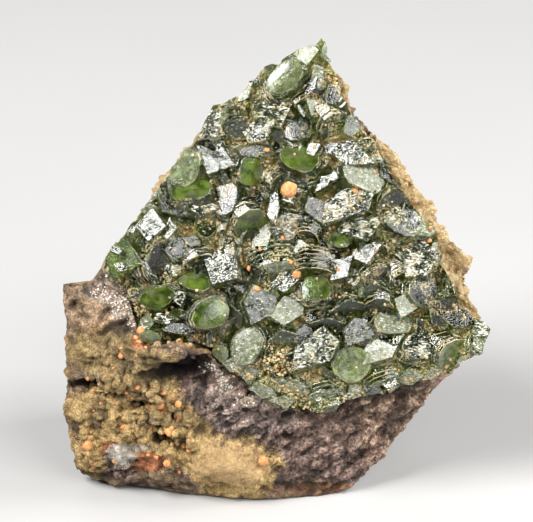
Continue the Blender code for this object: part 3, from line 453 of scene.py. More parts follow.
# Cracks in the rock's front: width, depth, then (side, rise) places along each.
CRACKS = (
    (0.40, 0.8, (-29.2, 16.2, -27.8, 16.9, -26.8, 16.5, -25.8, 17.1, -24.6, 16.6)),
    (0.40, 1.0, (-24.8, 14.8, -21.4, 14.6, -17.6, 15.4, -15.6, 14.8)),
    (0.40, 0.9, (-20.8, 25.8, -22.6, 24.6, -24.6, 23.6)),
    (0.30, 0.7, (-22.6, 11.6, -20.0, 12.2, -18.2, 11.6)),
    (0.30, 0.7, (-28.8, 20.6, -26.0, 20.0, -23.4, 20.6, -20.8, 19.6)),
    (0.35, 0.8, (-21.0, 9.2, -19.2, 9.0, -15.6, 10.8, -14.2, 12.4)),
    (0.60, 1.2, (-17.0, 9.0, -14.8, 9.0)),
    (0.30, 0.5, (-27.2, 12.4, -24.0, 12.8)),
    (0.25, 0.5, (-26.8, 27.0, -25.8, 26.0)),
)


def face_frame():
    """Turns (across, up, out) on the seat, in millimetres, into metres in the scene."""
    turn = Matrix(((1.0, 0.0, 0.0), SEAT_UP, SEAT_OUT)).transposed().to_4x4()
    return Matrix.Scale(MM, 4) @ Matrix.Translation(SEAT_FOOT + ORIGIN_SHIFT) @ turn


# Repeatable noise on arrays of points, in millimetres.

def scatter(cells, seed):
    """Three numbers from 0 to 1 for each whole-number cell."""
    key = cells.astype(np.int64) @ np.array([73856093, 19349663, 83492791]) + seed * 2654435
    key = key[..., None] * 31 + np.array([0, 101311, 202729])
    key = (key ^ (key >> 13)) * 1274126177
    key = (key ^ (key >> 16)) * 668265263
    return ((key >> 8) & 0xFFFFF) / 0x100000


def noise(points, size, seed):
    """Soft noise from about -1 to 1, with lumps of that size."""
    place = points / size
    cell = np.floor(place)
    share = place - cell
    smooth = share * share * (3.0 - 2.0 * share)
    total = np.zeros(len(points))
    for corner in itertools.product((0.0, 1.0), repeat=3):
        corner = np.array(corner)
        slope = scatter(cell + corner, seed) * 2.0 - 1.0
        weight = np.where(corner > 0.5, smooth, 1.0 - smooth).prod(axis=1)
        total += weight * ((share - corner) * slope).sum(axis=1)
    return total * 1.7


def rough(points, size, seed, layers=3):
    """Noise with finer, weaker layers on it."""
    return sum(noise(points, size / 2**i, seed + 17 * i) / 2**i for i in range(layers))


def grain(points, size, seed):
    """Distance to the nearest scattered centre and to the next one, as shares of the size."""
    place = points / size
    cell = np.floor(place)
    near = np.full(len(points), 9.0)
    second = np.full(len(points), 9.0)
    for step in itertools.product((-1.0, 0.0, 1.0), repeat=3):
        other = cell + np.array(step)
        gap = np.linalg.norm(other + scatter(other, seed) - place, axis=1)
        second = np.minimum(second, np.maximum(near, gap))
        near = np.minimum(near, gap)
    return near, second


def facets(points, size, seed):
    """Heights of flat facets that meet at sharp borders, each tilted its own way."""
    place = points / size
    cell = np.floor(place)
    near = np.full(len(points), 9.0)
    height = np.zeros(len(points))
    for step in itertools.product((-1.0, 0.0, 1.0), repeat=3):
        other = cell + np.array(step)
        offset = place - other - scatter(other, seed)
        gap = np.linalg.norm(offset, axis=1)
        tilt = (offset * (scatter(other, seed + 5) * 2.0 - 1.0)).sum(axis=1)
        height = np.where(gap < near, tilt, height)
        near = np.minimum(near, gap)
    return height


# Meshes.

def new_collection(name):
    made = bpy.data.collections.new(name)
    bpy.context.scene.collection.children.link(made)
    return made


def new_object(name, verts, faces, collection=None, finish=None):
    mesh = bpy.data.meshes.new(name)
    mesh.from_pydata(verts, [], faces)
    made = bpy.data.objects.new(name, mesh)
    (collection or bpy.context.scene.collection).objects.link(made)
    if finish:
        mesh.materials.append(finish)
    return made


def apply_modifiers(obj):
    """The object's mesh becomes what its modifiers make of it."""
    graph = bpy.context.evaluated_depsgraph_get()
    mesh = bpy.data.meshes.new_from_object(obj.evaluated_get(graph), depsgraph=graph)
    obj.modifiers.clear()
    obj.data = mesh


def points_of(mesh):
    found = np.empty(len(mesh.vertices) * 3, np.float32)
    mesh.vertices.foreach_get("co", found)
    return found.reshape(-1, 3).astype(np.float64)


def cover(mesh, finish):
    """The whole mesh gets one material and smooth shading."""
    mesh.materials.clear()
    mesh.materials.append(finish)
    mesh.polygons.foreach_set("material_index", np.zeros(len(mesh.polygons), np.int32))
    mesh.shade_smooth()


def set_points(mesh, points):
    mesh.vertices.foreach_set("co", points.astype(np.float32).ravel())
    mesh.update()


def normals_of(mesh):
    found = np.empty(len(mesh.vertices) * 3, np.float32)
    mesh.vertex_normals.foreach_get("vector", found)
    return found.reshape(-1, 3).astype(np.float64)


def add_values(mesh, name, values, domain="POINT"):
    made = mesh.attributes.new(name, "FLOAT", domain)
    made.data.foreach_set("value", np.asarray(values, np.float32).ravel())


def keep_outer_shell(obj):
    """Only the largest connected surface stays."""
    shape = bmesh.new()
    shape.from_mesh(obj.data)
    unseen = set(shape.verts)
    shells = []
    while unseen:
        shell = set()
        front = [unseen.pop()]
        while front:
            vert = front.pop()
            shell.add(vert)
            near = {edge.other_vert(vert) for edge in vert.link_edges} & unseen
            unseen -= near
            front += near
        shells.append(shell)
    shells.sort(key=len)
    hidden = [vert for shell in shells[:-1] for vert in shell]
    bmesh.ops.delete(shape, geom=hidden, context="VERTS")
    shape.to_mesh(obj.data)
    shape.free()


# The crystals.

def sides_of(outline):
    """Each corner of a closed outline with the next one."""
    return zip(outline, outline[1:] + outline[:1])


def inside(point, outline):
    """Whether a place on the seat lies within the outline."""
    x, y = point
    crossings = 0
    for (x1, y1), (x2, y2) in sides_of(outline):
        if (y1 > y) != (y2 > y) and x < x1 + (y - y1) / (y2 - y1) * (x2 - x1):
            crossings += 1
    return crossings % 2 == 1


def line_distance(places, a, b):
    """How far each place is from the line between two others."""
    along = np.clip((places - a) @ (b - a) / ((b - a) @ (b - a)), 0.0, 1.0)
    return np.linalg.norm(places - a - along[:, None] * (b - a), axis=1)


def border_distance(places):
    """How far each place on the seat is from the crust's outline."""
    found = np.full(len(places), np.inf)
    for a, b in sides_of(CRUST_OUTLINE):
        found = np.minimum(found, line_distance(places, np.array(a), np.array(b)))
    return found


def fill_crystals():
    """Rows like those of CRYSTALS for the places that they leave free."""
    chance = random.Random(FILL_SEED)
    taken = [row[2:4] for row in CRYSTALS]
    for i in FILL_COLUMNS:
        for j in FILL_ROWS:
            across = (i + 0.5 * (j % 2)) * FILL_STEP + chance.uniform(-FILL_JITTER, FILL_JITTER)
            up = j * FILL_STEP + chance.uniform(-FILL_JITTER, FILL_JITTER)
            room = min(math.dist((across, up), other) for other in taken)
            half = chance.uniform(*FILL_SIZE)
            lean = (chance.uniform(-FILL_LEAN, FILL_LEAN), chance.uniform(-FILL_LEAN, FILL_LEAN))
            spin = chance.uniform(0.0, 180.0)
            rise = chance.uniform(*FILL_RISE)
            habit = chance.choice(("block", "block", "book", "book"))
            skin = chance.choice(FILL_SKINS)
            if inside((across, up), CRUST_OUTLINE) and room > FILL_ROOM:
                taken.append((across, up))
                sizes = (half, half * FILL_WIDTH, half * FILL_HEIGHT)
                yield (habit, skin, across, up, *sizes, *lean, spin, rise)


def outline_of(corners, rounding, unevenness, chance):
    """A plate's outline of about unit size, with uneven corners that are cut back rounding times."""
    points = []
    for i in range(corners):
        angle = math.tau * (i + chance.uniform(-CORNER_JITTER, CORNER_JITTER)) / corners
        reach = 1.0 + chance.uniform(-unevenness, unevenness)
        points.append(Vector((math.cos(angle) * reach, math.sin(angle) * reach)))
    for _ in range(rounding):
        points = [a.lerp(b, share) for a, b in sides_of(points) for share in (0.25, 0.75)]
    return points


def plate_shape(outline, bevel, crown, root, skins):
    """A plate of unit height: (verts, faces, each face's skin). skins are its top's, side's and edge's."""
    top, side, edge = skins
    slope = 0.04
    foot = (0.8, -0.5 - root) if root else (1.0 - 1.3 * bevel, -0.5)
    # the rings of corners from the foot up: width, height
    rings = [foot, (1.0, -0.34), (1.0 - slope, 0.36), (1.0 - slope - bevel, 0.5)]
    ring_skins = [side, side, edge]
    if crown:
        rings += [(0.62, 0.5 + 0.6 * crown), (0.3, 0.5 + 0.92 * crown)]
        ring_skins += [top, top]
    count = len(outline)
    verts = [(p.x * scale, p.y * scale, z) for scale, z in rings for p in outline]
    faces = [tuple(reversed(range(count)))]
    face_skins = [side]
    for level, skin in enumerate(ring_skins):
        low = level * count
        for i in range(count):
            j = (i + 1) % count
            faces.append((low + i, low + j, low + count + j, low + count + i))
            face_skins.append(skin)
    faces.append(tuple(range(len(verts) - count, len(verts))))
    face_skins.append(top)
    return verts, faces, face_skins


def broken_outline(chance):
    """The crust's outline as an uneven line of short breaks."""
    points = []
    for a, b in sides_of(CRUST_OUTLINE):
        count = max(1, round(math.dist(a, b) / BREAK_STEP))
        for i in range(count):
            place = Vector(a).lerp(Vector(b), i / count)
            jitter = (chance.uniform(-BREAK_JITTER, BREAK_JITTER) for _ in range(2))
            points.append(place + Vector(jitter))
    return points


def add_skins(obj, slots, index):
    """Gives an object the slots of all skins, and each of its faces the number of its own."""
    for slot in slots:
        obj.data.materials.append(slot)
    obj.data.polygons.foreach_set("material_index", index)


def prism(name, low, high, frame, slots, index):
    """A closed solid between two outlines of as many points, in (across, up, out)."""
    count = len(low)
    faces = [tuple(range(count)), tuple(reversed(range(count, 2 * count)))]
    faces += [(i, i + count, (i + 1) % count + count, (i + 1) % count) for i in range(count)]
    made = new_object(name, [frame @ Vector(p) for p in (*low, *high)], faces)
    add_skins(made, slots, [index] * len(faces))
    return made


def combine(obj, operation, other):
    """A Boolean with one object or with all the objects of a collection."""
    modifier = obj.modifiers.new(operation.lower(), "BOOLEAN")
    modifier.operation = operation
    modifier.solver = "MANIFOLD"
    if isinstance(other, bpy.types.Collection):
        modifier.operand_type = "COLLECTION"
        modifier.collection = other
    else:
        modifier.object = other
    apply_modifiers(obj)


def crystal_plates(row, chance):
    """The plates of one crystal in (across, up, out), each as (verts, faces, each face's skin)."""
    habit, skin, across, up, half_length, half_width, height, lean_right, lean_up, spin, rise = row
    count, narrowing, fanning, fewest, most, rounding, unevenness, bevel, crown = HABITS[habit]
    half_length, half_width, height = (x * y for x, y in zip((half_length, half_width, height), GROWTH))
    tip_up = Matrix.Rotation(math.radians(-lean_up), 4, "X")
    tip_right = Matrix.Rotation(math.radians(lean_right), 4, "Y")
    turn = tip_up @ tip_right @ Matrix.Rotation(math.radians(spin), 4, "Z")
    place = Matrix.Translation((across, up, rise)) @ turn
    border = "line" if habit == "book" else "edge"
    base = outline_of(chance.randint(fewest, most), rounding, unevenness, chance)
    drift = Vector((chance.uniform(-1, 1), -1.0)).normalized() * 0.5 * narrowing / count
    thickness = height / count
    for i in range(count):
        last = i == count - 1
        share = i / max(count - 1, 1)
        scale = 1.0 - narrowing * share + chance.uniform(-PLATE_JITTER, PLATE_JITTER)
        if habit == "book":
            scale = 1.0 - chance.uniform(0.0, narrowing)
        top_skin = skin if last or habit != "terrace" else chance.choice((skin, "c"))
        root = 0.0 if i else ROOT / thickness
        plate_skins = (top_skin, "c", border)
        verts, faces, skins = plate_shape(base, bevel, crown if last else 0.0, root, plate_skins)
        fan = Matrix.Rotation(math.radians(fanning) * (share - 0.5), 4, "X")
        aside = drift * i * max(half_length, half_width)
        move = Matrix.Translation((*aside, height * ((i + 0.5) / count - 0.5)))
        sizes = (half_length * scale, half_width * scale, thickness * PLATE_OVERLAP)
        whole = place @ fan @ move @ Matrix.Diagonal((*sizes, 1.0))
        yield [whole @ Vector(v) for v in verts], faces, skins


def add_crystals(collection, frame, slots):
    """One object for each plate, with its skins as the numbers of material slots."""
    for number, row in enumerate((*CRYSTALS, *fill_crystals()), start=1):
        chance = random.Random(number)
        tone = chance.randrange(TONES)
        for part, (verts, faces, skins) in enumerate(crystal_plates(row, chance), start=1):
            plate = new_object(f"plate_{number}_{part}", [frame @ v for v in verts], faces, collection)
            add_skins(plate, slots, [SKINS.index(skin) * TONES + tone for skin in skins])


def build_crystals(frame, finish):
    """The ludlamite: every plate of every crystal joined in one solid.

    The material slots carry each face's skin and tone through the Booleans, and become attributes.
    """
    slots = [bpy.data.materials.new(f"skin_{skin}_{tone}") for skin in SKINS for tone in range(TONES)]
    plates = new_collection("plates")
    add_crystals(plates, frame, slots)
    middle = sum((Vector(p) for p in CRUST_OUTLINE), Vector((0, 0))) / len(CRUST_OUTLINE)
    edge = broken_outline(random.Random(BREAK_SEED))
    low = [(*p, SEAT_GAP) for p in edge]
    crust = prism("ludlamite_crystals", low, [(*p, CRUST_THICKNESS) for p in edge], frame, slots, 0)
    combine(crust, "UNION", plates)
    flared = [(*(p + (p - middle).normalized() * BREAK_FLARE), BREAK_TOP) for p in edge]
    room = prism("room", low, flared, frame, slots, SKINS.index("b") * TONES)
    combine(crust, "INTERSECT", room)
    for helper in (room, *plates.objects):
        bpy.data.objects.remove(helper)
    bpy.data.collections.remove(plates)
    keep_outer_shell(crust)
    mesh = crust.data
    index = np.empty(len(mesh.polygons), np.int32)
    mesh.polygons.foreach_get("material_index", index)
    for number, name in enumerate(SKINS):
        add_values(mesh, f"skin_{name}", index // TONES == number, "FACE")
    add_values(mesh, "tone", (index % TONES) / (TONES - 1), "FACE")
    back = frame.inverted()
    on_seat = points_of(mesh) @ np.array(back)[:3, :3].T + np.array(back.translation)
    add_values(mesh, "out", on_seat[:, 2])
    inner = border_distance(on_seat[:, :2]) / COAT_BORDER - COAT_START
    add_values(mesh, "inner", np.clip(inner, 0.0, 1.0))
    cover(mesh, finish)
    mesh.set_sharp_from_angle(angle=CRUST_SHARP_ANGLE)
    for slot in slots:
        bpy.data.materials.remove(slot)
    return crust


# Materials.

class Nodes:
    """A new material, with short names for building its node tree. A value is a number or a socket."""

    def __init__(self, name):
        self.material = bpy.data.materials.new(name)
        self.material.use_nodes = True
        self.tree = self.material.node_tree
        self.surface = self.tree.nodes["Principled BSDF"]

    def add(self, kind, **settings):
        made = self.tree.nodes.new(kind)
        for name, value in settings.items():
            setattr(made, name, value)
        return made

    def feed(self, socket, value):
        if isinstance(value, bpy.types.NodeSocket):
            self.tree.links.new(value, socket)
        else:
            socket.default_value = value

    def put(self, name, value):
        """Gives the shader's input of that name its value."""
        self.feed(self.surface.inputs[name], value)

    def math(self, operation, *values, clamp=False):
        """The values combined one after another. With clamp, the result stays from 0 to 1."""
        result = values[0]
        for value in values[1:]:
            made = self.add("ShaderNodeMath", operation=operation)
            self.feed(made.inputs[0], result)
            self.feed(made.inputs[1], value)
            result = made.outputs[0]
        made.use_clamp = clamp
        return result

    def plus(self, *values, clamp=False):
        return self.math("ADD", *values, clamp=clamp)

    def times(self, *values):
        return self.math("MULTIPLY", *values)

    def most(self, *values):
        return self.math("MAXIMUM", *values)

    def rest(self, value, share=1.0):
        """What is left of 1 when that share of the value is taken away."""
        made = self.add("ShaderNodeMath", operation="MULTIPLY_ADD")
        for socket, item in zip(made.inputs, (value, -share, 1.0)):
            self.feed(socket, item)
        return made.outputs[0]

    def mix(self, share, a, b):
        """A colour between two, each a socket or a tuple of red, green and blue."""
        made = self.add("ShaderNodeMix", data_type="RGBA")
        self.feed(made.inputs["Factor"], share)
        for socket, colour in zip(made.inputs[6:8], (a, b)):
            self.feed(socket, (*colour, 1.0) if isinstance(colour, tuple) else colour)
        return made.outputs[2]

    def blend(self, share, a, b):
        """A number between two."""
        made = self.add("ShaderNodeMix", data_type="FLOAT")
        self.feed(made.inputs["Factor"], share)
        for socket, value in zip(made.inputs[2:4], (a, b)):
            self.feed(socket, value)
        return made.outputs[0]

    def step(self, value, low, high, start=0.0, end=1.0):
        """A smooth change from start to end as the value goes from low to high."""
        made = self.add("ShaderNodeMapRange", interpolation_type="SMOOTHSTEP")
        for name, item in zip(("Value", "From Min", "From Max", "To Min", "To Max"),
                              (value, low, high, start, end)):
            self.feed(made.inputs[name], item)
        return made.outputs["Result"]

    def value(self, name):
        """The mesh's attribute of that name."""
        return self.add("ShaderNodeAttribute", attribute_name=name).outputs["Fac"]

    def place(self):
        return self.add("ShaderNodeTexCoord").outputs["Object"]

    def noise(self, size_mm, detail=2.0, roughness=0.5, vector=None):
        """Soft noise from 0 to 1."""
        made = self.add("ShaderNodeTexNoise")
        values = (vector or self.place(), 1.0 / (size_mm * MM), detail, roughness)
        for name, value in zip(("Vector", "Scale", "Detail", "Roughness"), values):
            self.feed(made.inputs[name], value)
        return made.outputs["Fac"]

    def streaks(self, size_mm, length, direction):
        """Noise drawn out along a direction, given in degrees about the three axes."""
        made = self.add("ShaderNodeMapping")
        made.inputs["Rotation"].default_value = [math.radians(angle) for angle in direction]
        made.inputs["Scale"].default_value = (1.0 / length, 1.0, 1.0)
        self.feed(made.inputs["Vector"], self.place())
        return self.noise(size_mm, 3.0, 0.6, made.outputs["Vector"])

    def cells(self, size_mm):
        """A value of its own for each small cell."""
        made = self.add("ShaderNodeTexVoronoi")
        self.feed(made.inputs["Vector"], self.place())
        made.inputs["Scale"].default_value = 1.0 / (size_mm * MM)
        return made.outputs["Color"]

    def bump(self, height, distance_mm, strength=1.0, normal=None):
        """A normal bent by a height, on top of another normal if one is given."""
        made = self.add("ShaderNodeBump")
        made.inputs["Distance"].default_value = distance_mm * MM
        self.feed(made.inputs["Strength"], strength)
        self.feed(made.inputs["Height"], height)
        if normal:
            self.feed(made.inputs["Normal"], normal)
        return made.outputs["Normal"]


def ochre_coat(n, rough_faces, clean_faces):
    """How thickly ochre covers the crystals: their plates' edges, the low places between them, and films."""
    inner = n.value("inner")
    edge = n.times(n.value("skin_edge"), n.step(n.noise(0.9, 3.0), 0.54, 0.60, 0.0, 0.4))
    line = n.times(n.value("skin_line"), n.step(n.noise(1.6, 3.0), 0.42, 0.54, 0.1, 0.85))
    edge = n.times(n.most(edge, line), n.step(inner, 0.0, 1.0, 0.2, 1.0))
    height = n.plus(n.value("out"), n.times(n.noise(0.8, 4.0, 0.7), 5.0))
    dots = n.step(n.cells(0.20), 0.50, 0.58)
    dots = n.most(dots, n.step(n.noise(0.34, 2.0), 0.50, 0.60, 0.15, 1.0))
    dust = n.times(n.step(height, 4.2, 4.9, 1.0, 0.0), inner, n.rest(rough_faces, 0.5), dots)
    film = n.times(n.step(n.noise(2.6, 4.0), 0.50, 0.58), n.step(n.cells(0.18), 0.58, 0.66))
    return n.most(edge, dust, n.times(film, n.rest(clean_faces, 0.85), 0.75))


def crystal_material():
    n = Nodes("ludlamite")
    frosted, broken, etched, pale, glossy, dark, vivid = (n.value(f"skin_{skin}") for skin in "fbepgdv")
    edges = n.value("skin_edge")
    tone = n.value("tone")
    streaks = (n.streaks(0.19, 3.0, direction) for direction in ((20, 0, 35), (-30, 15, 115)))
    lines = n.blend(n.step(tone, 0.4, 0.6), *streaks)
    patches = n.step(n.noise(1.3, 3.0), 0.44, 0.60)
    rough_faces = n.plus(frosted, broken)
    coat = ochre_coat(n, rough_faces, n.plus(vivid, pale, frosted, glossy, clamp=True))

    # white flecks, thickest on the etched faces: partly the etching's own white, partly a painted glint
    share = n.plus(n.times(etched, 0.85), n.times(broken, 0.50), n.times(frosted, 0.20), 0.09)
    level = n.plus(lines, n.times(share, patches, 0.15))
    flecks_and_glint = n.step(level, n.blend(etched, 0.64, 0.56), n.blend(etched, 0.67, 0.71), 0.0, 0.95)
    bare = n.plus(vivid, pale, n.times(dark, 0.6), clamp=True)
    flecks_and_glint = n.times(flecks_and_glint, n.rest(bare, 0.9))

    # how milky the crystal is: clear at 0. On the plates' edges it is also a pale line of painted highlight.
    frost = n.plus(n.times(frosted, 0.42), n.times(broken, 0.48))
    milk_and_edge_sheen = n.times(frost, n.step(lines, 0.40, 0.58, 0.4, 1.0))
    glow = n.times(n.plus(pale, vivid), n.step(n.noise(2.2, 1.0), 0.30, 0.70, 0.24, 0.46))
    # painted highlight: the plates' edges are made milky and pale, as if they caught the light
    edge_highlights = n.times(edges, n.step(n.noise(0.9, 3.0), 0.40, 0.52, 0.1, 1.0), 0.24)
    clouds = n.step(n.noise(0.9, 5.0, 0.65), 0.52, 0.74, 0.0, 0.15)
    milk_and_edge_sheen = n.plus(milk_and_edge_sheen, glow, edge_highlights, clouds, clamp=True)

    glass = n.mix(tone, (0.66, 0.78, 0.36), (0.88, 0.92, 0.62))
    glass = n.mix(dark, glass, (0.20, 0.25, 0.10))
    green, whitish, lively = (
        n.mix(n.step(n.noise(size, detail), 0.35, 0.65), low, high)
        for size, detail, low, high in (
            (1.1, 3.0, (0.035, 0.06, 0.006), (0.24, 0.35, 0.035)),
            (0.6, 4.0, (0.21, 0.26, 0.09), (0.75, 0.78, 0.59)),
            (1.6, 2.0, (0.05, 0.09, 0.008), (0.21, 0.31, 0.045)),
        )
    )
    # the share of the whitish colour: frosted, broken and pale faces, and the plates' edges as painted
    # highlight
    light = n.plus(frosted, broken, n.times(pale, 0.45), edges, clamp=True)
    bodied = n.mix(vivid, n.mix(light, green, whitish), lively)
    colour = n.mix(n.step(milk_and_edge_sheen, 0.05, 0.35), glass, bodied)
    # the flecks' white, partly a painted glint
    colour = n.mix(flecks_and_glint, colour, (0.80, 0.78, 0.72))
    ochre = n.mix(n.noise(0.5, 2.0), (0.32, 0.19, 0.055), (0.72, 0.52, 0.25))
    n.put("Base Color", n.mix(coat, colour, ochre))
    n.put("Transmission Weight", n.times(n.rest(milk_and_edge_sheen), n.rest(flecks_and_glint), n.rest(coat)))
    dullness = n.plus(n.times(rough_faces, 0.22), n.times(coat, 0.5), n.times(flecks_and_glint, 0.3), 0.03, clamp=True)
    n.put("Roughness", dullness)
    n.put("IOR", CRYSTAL_IOR)

    pitted = n.times(n.plus(etched, n.times(broken, 0.6)), 0.75)
    pitted = n.plus(pitted, n.times(glossy, patches, 0.16), 0.12)
    etching = n.bump(n.step(lines, 0.42, 0.58), 0.14, pitted)
    n.put("Normal", n.bump(n.noise(1.5, 2.0), 0.12, 0.15, etching))
    inside = n.add("ShaderNodeVolumeAbsorption")
    n.feed(inside.inputs["Color"], ABSORPTION_COLOUR)
    n.feed(inside.inputs["Density"], ABSORPTION_DENSITY)
    n.feed(n.tree.nodes["Material Output"].inputs["Volume"], inside.outputs["Volume"])
    return n.material


def ochre_material():
    n = Nodes("ochre_grains")
    n.put("Base Color", n.mix(n.step(n.noise(0.7, 2.0), 0.35, 0.65), (0.42, 0.27, 0.10), (0.72, 0.56, 0.33)))
    n.put("Roughness", n.step(n.noise(0.3, 1.0), 0.3, 0.7, 0.6, 0.95))
    n.put("Normal", n.bump(n.noise(0.15, 2.0), 0.05, 0.8))
    return n.material


def druse_material():
    n = Nodes("druse")
    n.put("Base Color", n.mix(n.step(n.noise(0.9, 2.0), 0.4, 0.6), (0.78, 0.66, 0.56), (0.92, 0.92, 0.88)))
    n.put("Roughness", n.step(n.noise(0.5, 1.0), 0.3, 0.7, 0.08, 0.3))
    return n.material


def orange_material():
    n = Nodes("orange_grains")
    light = n.step(n.noise(0.35, 3.0, 0.6), 0.35, 0.65)
    n.put("Base Color", n.mix(light, (0.62, 0.22, 0.06), (0.86, 0.43, 0.18)))
    n.put("Roughness", n.step(light, 0.0, 1.0, 0.55, 0.85))
    n.put("Normal", n.bump(n.noise(0.22, 3.0, 0.6), 0.10, 0.8))
    return n.material


def rock_material():
    n = Nodes("host_rock")
    mottle = n.step(n.noise(1.8, 4.0, 0.6), 0.38, 0.64)
    colour = n.mix(mottle, (0.22, 0.145, 0.085), (0.48, 0.34, 0.20))
    purplish = n.mix(mottle, (0.15, 0.095, 0.075), (0.36, 0.24, 0.19))
    colour = n.mix(n.step(n.noise(9.0, 5.0, 0.6), 0.50, 0.58), colour, purplish)
    stained = n.mix(mottle, (0.40, 0.24, 0.09), (0.66, 0.44, 0.20))
    colour = n.mix(n.step(n.noise(6.5, 5.0, 0.6), 0.56, 0.64), colour, stained)
    ragged = n.times(n.plus(n.step(n.noise(0.16, 2.0, 0.6), 0.35, 0.65), -0.5), 0.5)
    for name, low, high in ZONE_COLOURS:
        share = n.step(n.plus(n.value(name), ragged), 0.35, 0.65)
        colour = n.mix(share, colour, n.mix(mottle, low, high))
    spotted = n.plus(n.value("nodular"), n.times(n.value("rim"), 0.6), 0.1)
    spots = n.times(n.step(n.noise(1.1, 2.0), 0.64, 0.68), spotted)
    colour = n.mix(spots, colour, (0.62, 0.24, 0.07))

    # painted shade: low places are darker and high ones a little lighter, and hollows and the rock under the
    # crust darkest. Specks darken the colour too, as the rock's own grain.
    speckle = n.step(n.noise(0.32, 3.0, 0.7), 0.36, 0.64)
    darkest = n.step(n.value("smooth"), 0.0, 1.0, 0.60, 0.86)
    relief = n.step(n.value("relief"), 0.1, 0.62, 0.28, 1.06)
    shade = n.times(relief, n.step(speckle, 0.0, 1.0, darkest, 1.16))
    # painted light: the rim and the silvery patch are kept out of most of the painted shade
    shade = n.most(shade, n.times(n.value("rim"), 0.92), n.times(n.value("silver"), 0.85))
    grained = n.plus(n.value("dusky"), n.times(n.value("grey"), 0.5), clamp=True)
    grains = n.blend(grained, 1.0, n.step(n.cells(0.40), 0.25, 0.75, 0.62, 1.30))
    # painted shadow in the hollows, darkest at their deepest
    hollows = n.step(n.value("deep"), 0.15, 1.0, 1.0, 0.18)
    # the painted shade under the crust takes the colour down to 0.08
    shade = n.times(shade, grains, hollows, n.step(n.value("under"), 0.0, 1.0, 1.0, 0.08))
    shaded = n.add("ShaderNodeVectorMath", operation="SCALE")
    n.feed(shaded.inputs[0], colour)
    n.feed(shaded.inputs["Scale"], shade)
    n.put("Base Color", shaded.outputs[0])
    glitter = n.step(n.noise(0.22, 1.0), 0.66, 0.69)
    n.put("Roughness", n.step(glitter, 0.0, 1.0, 0.85, 0.28))
    coarse = n.bump(n.noise(0.60, 4.0, 0.7), 1.1, 1.0)
    n.put("Normal", n.bump(n.noise(0.22, 3.0, 0.7), 0.35, 1.0, coarse))
    return n.material


# The rock.

def front_places(points):
    """(side, rise) of each point."""
    return np.stack([points[:, 0], (points - SEAT_FOOT * Vector((1, 1, 0))) @ np.array(FRONT_RISE)], axis=1)


def seat_places(points):
    """(across, up) on the seat of each point, and how far out of the seat it is."""
    from_foot = points - np.array(SEAT_FOOT)
    return np.stack([points[:, 0], from_foot @ np.array(SEAT_UP)], axis=1), from_foot @ np.array(SEAT_OUT)


def ellipse_reach(places, ellipse):
    """How far each place is from the middle of an ellipse, as a share of the way to its border."""
    side, rise, half_width, half_height = ellipse
    return np.hypot((places[:, 0] - side) / half_width, (places[:, 1] - rise) / half_height)


def zone(places, name, wobble):
    """How far each place lies within a zone's ellipses, from 0 to 1, with an uneven border."""
    found = np.zeros(len(places))
    for ellipse in ZONES[name]:
        margin = 1.25 - ellipse_reach(places, ellipse) + 0.35 * wobble
        found = np.maximum(found, np.clip(margin / 0.5, 0.0, 1.0))
    return found


def crack_depth(places, wobble):
    """How deep the cracks cut in at each place."""
    found = np.zeros(len(places))
    for width, depth, line in CRACKS:
        knots = np.array(line).reshape(-1, 2)
        for a, b in zip(knots[:-1], knots[1:]):
            away = line_distance(places, a, b) + 0.5 * np.abs(wobble)
            found = np.maximum(found, depth * np.exp(-((away / width) ** 2)))
    return found


def pit_depth(places, wobble):
    """How far the hollows and swellings move each place into the rock."""
    found = np.zeros(len(places))
    for *ellipse, depth in PITS:
        sharp = min(ellipse[2:]) / (PIT_BORDER if depth > 0.0 else SWELLING_BORDER)
        margin = 1.0 - ellipse_reach(places, ellipse) + 0.25 * wobble
        found += depth * np.clip(0.5 + margin * sharp, 0.0, 1.0)
    return found


def knobs(points, size, seed):
    """Round lumps that stand close together, from 0 between them to 1 on top."""
    near, _ = grain(points, size, seed)
    return np.sqrt(np.clip(1.0 - (near / 0.72) ** 2, 0.0, 1.0))


def rock_masks(points, normals):
    """The zones' strengths at each point, its place on the front, and how far it faces the front."""
    places = front_places(points)
    on_seat, seat_out = seat_places(points)
    wobble = rough(points, 3.0, 41)
    front = np.clip((-normals[:, 1] + 0.1) * 3.0, 0.0, 1.0)
    masks = {name: zone(places, name, wobble) * front for name in ZONES}

    # the pale rim round the crust, but not below it
    high = np.clip((points[:, 2] - RIM_FOOT) / 3.0, 0.0, 1.0)
    masks["rim"] = np.clip((seat_out + RIM_DEPTH + 1.6 * wobble) / 1.5, 0.0, 1.0) * high
    masks["rim"] *= np.clip(np.maximum(points[:, 0], places[:, 1] - 30.0) / 3.0, 0.0, 1.0)
    masks["rim"] *= 1.0 - masks["brown"]

    # painted shade on the rock under the crust
    near = np.flatnonzero(seat_out > -UNDER_DEPTH)
    covered = [inside(place, CRUST_OUTLINE) for place in on_seat[near]]
    masks["under"] = np.zeros(len(points))
    masks["under"][near] = np.array(covered) * np.clip(border_distance(on_seat[near]) - 0.2, 0.0, 1.0)

    # where the mesh may be thinned: behind, and under the crust
    masks["spare"] = np.clip(points[:, 1] / 6.0, 0.1, 1.0)
    masks["spare"][(seat_out > -0.3) & (points[:, 2] > 18.0)] = 1.0
    return masks, places, front


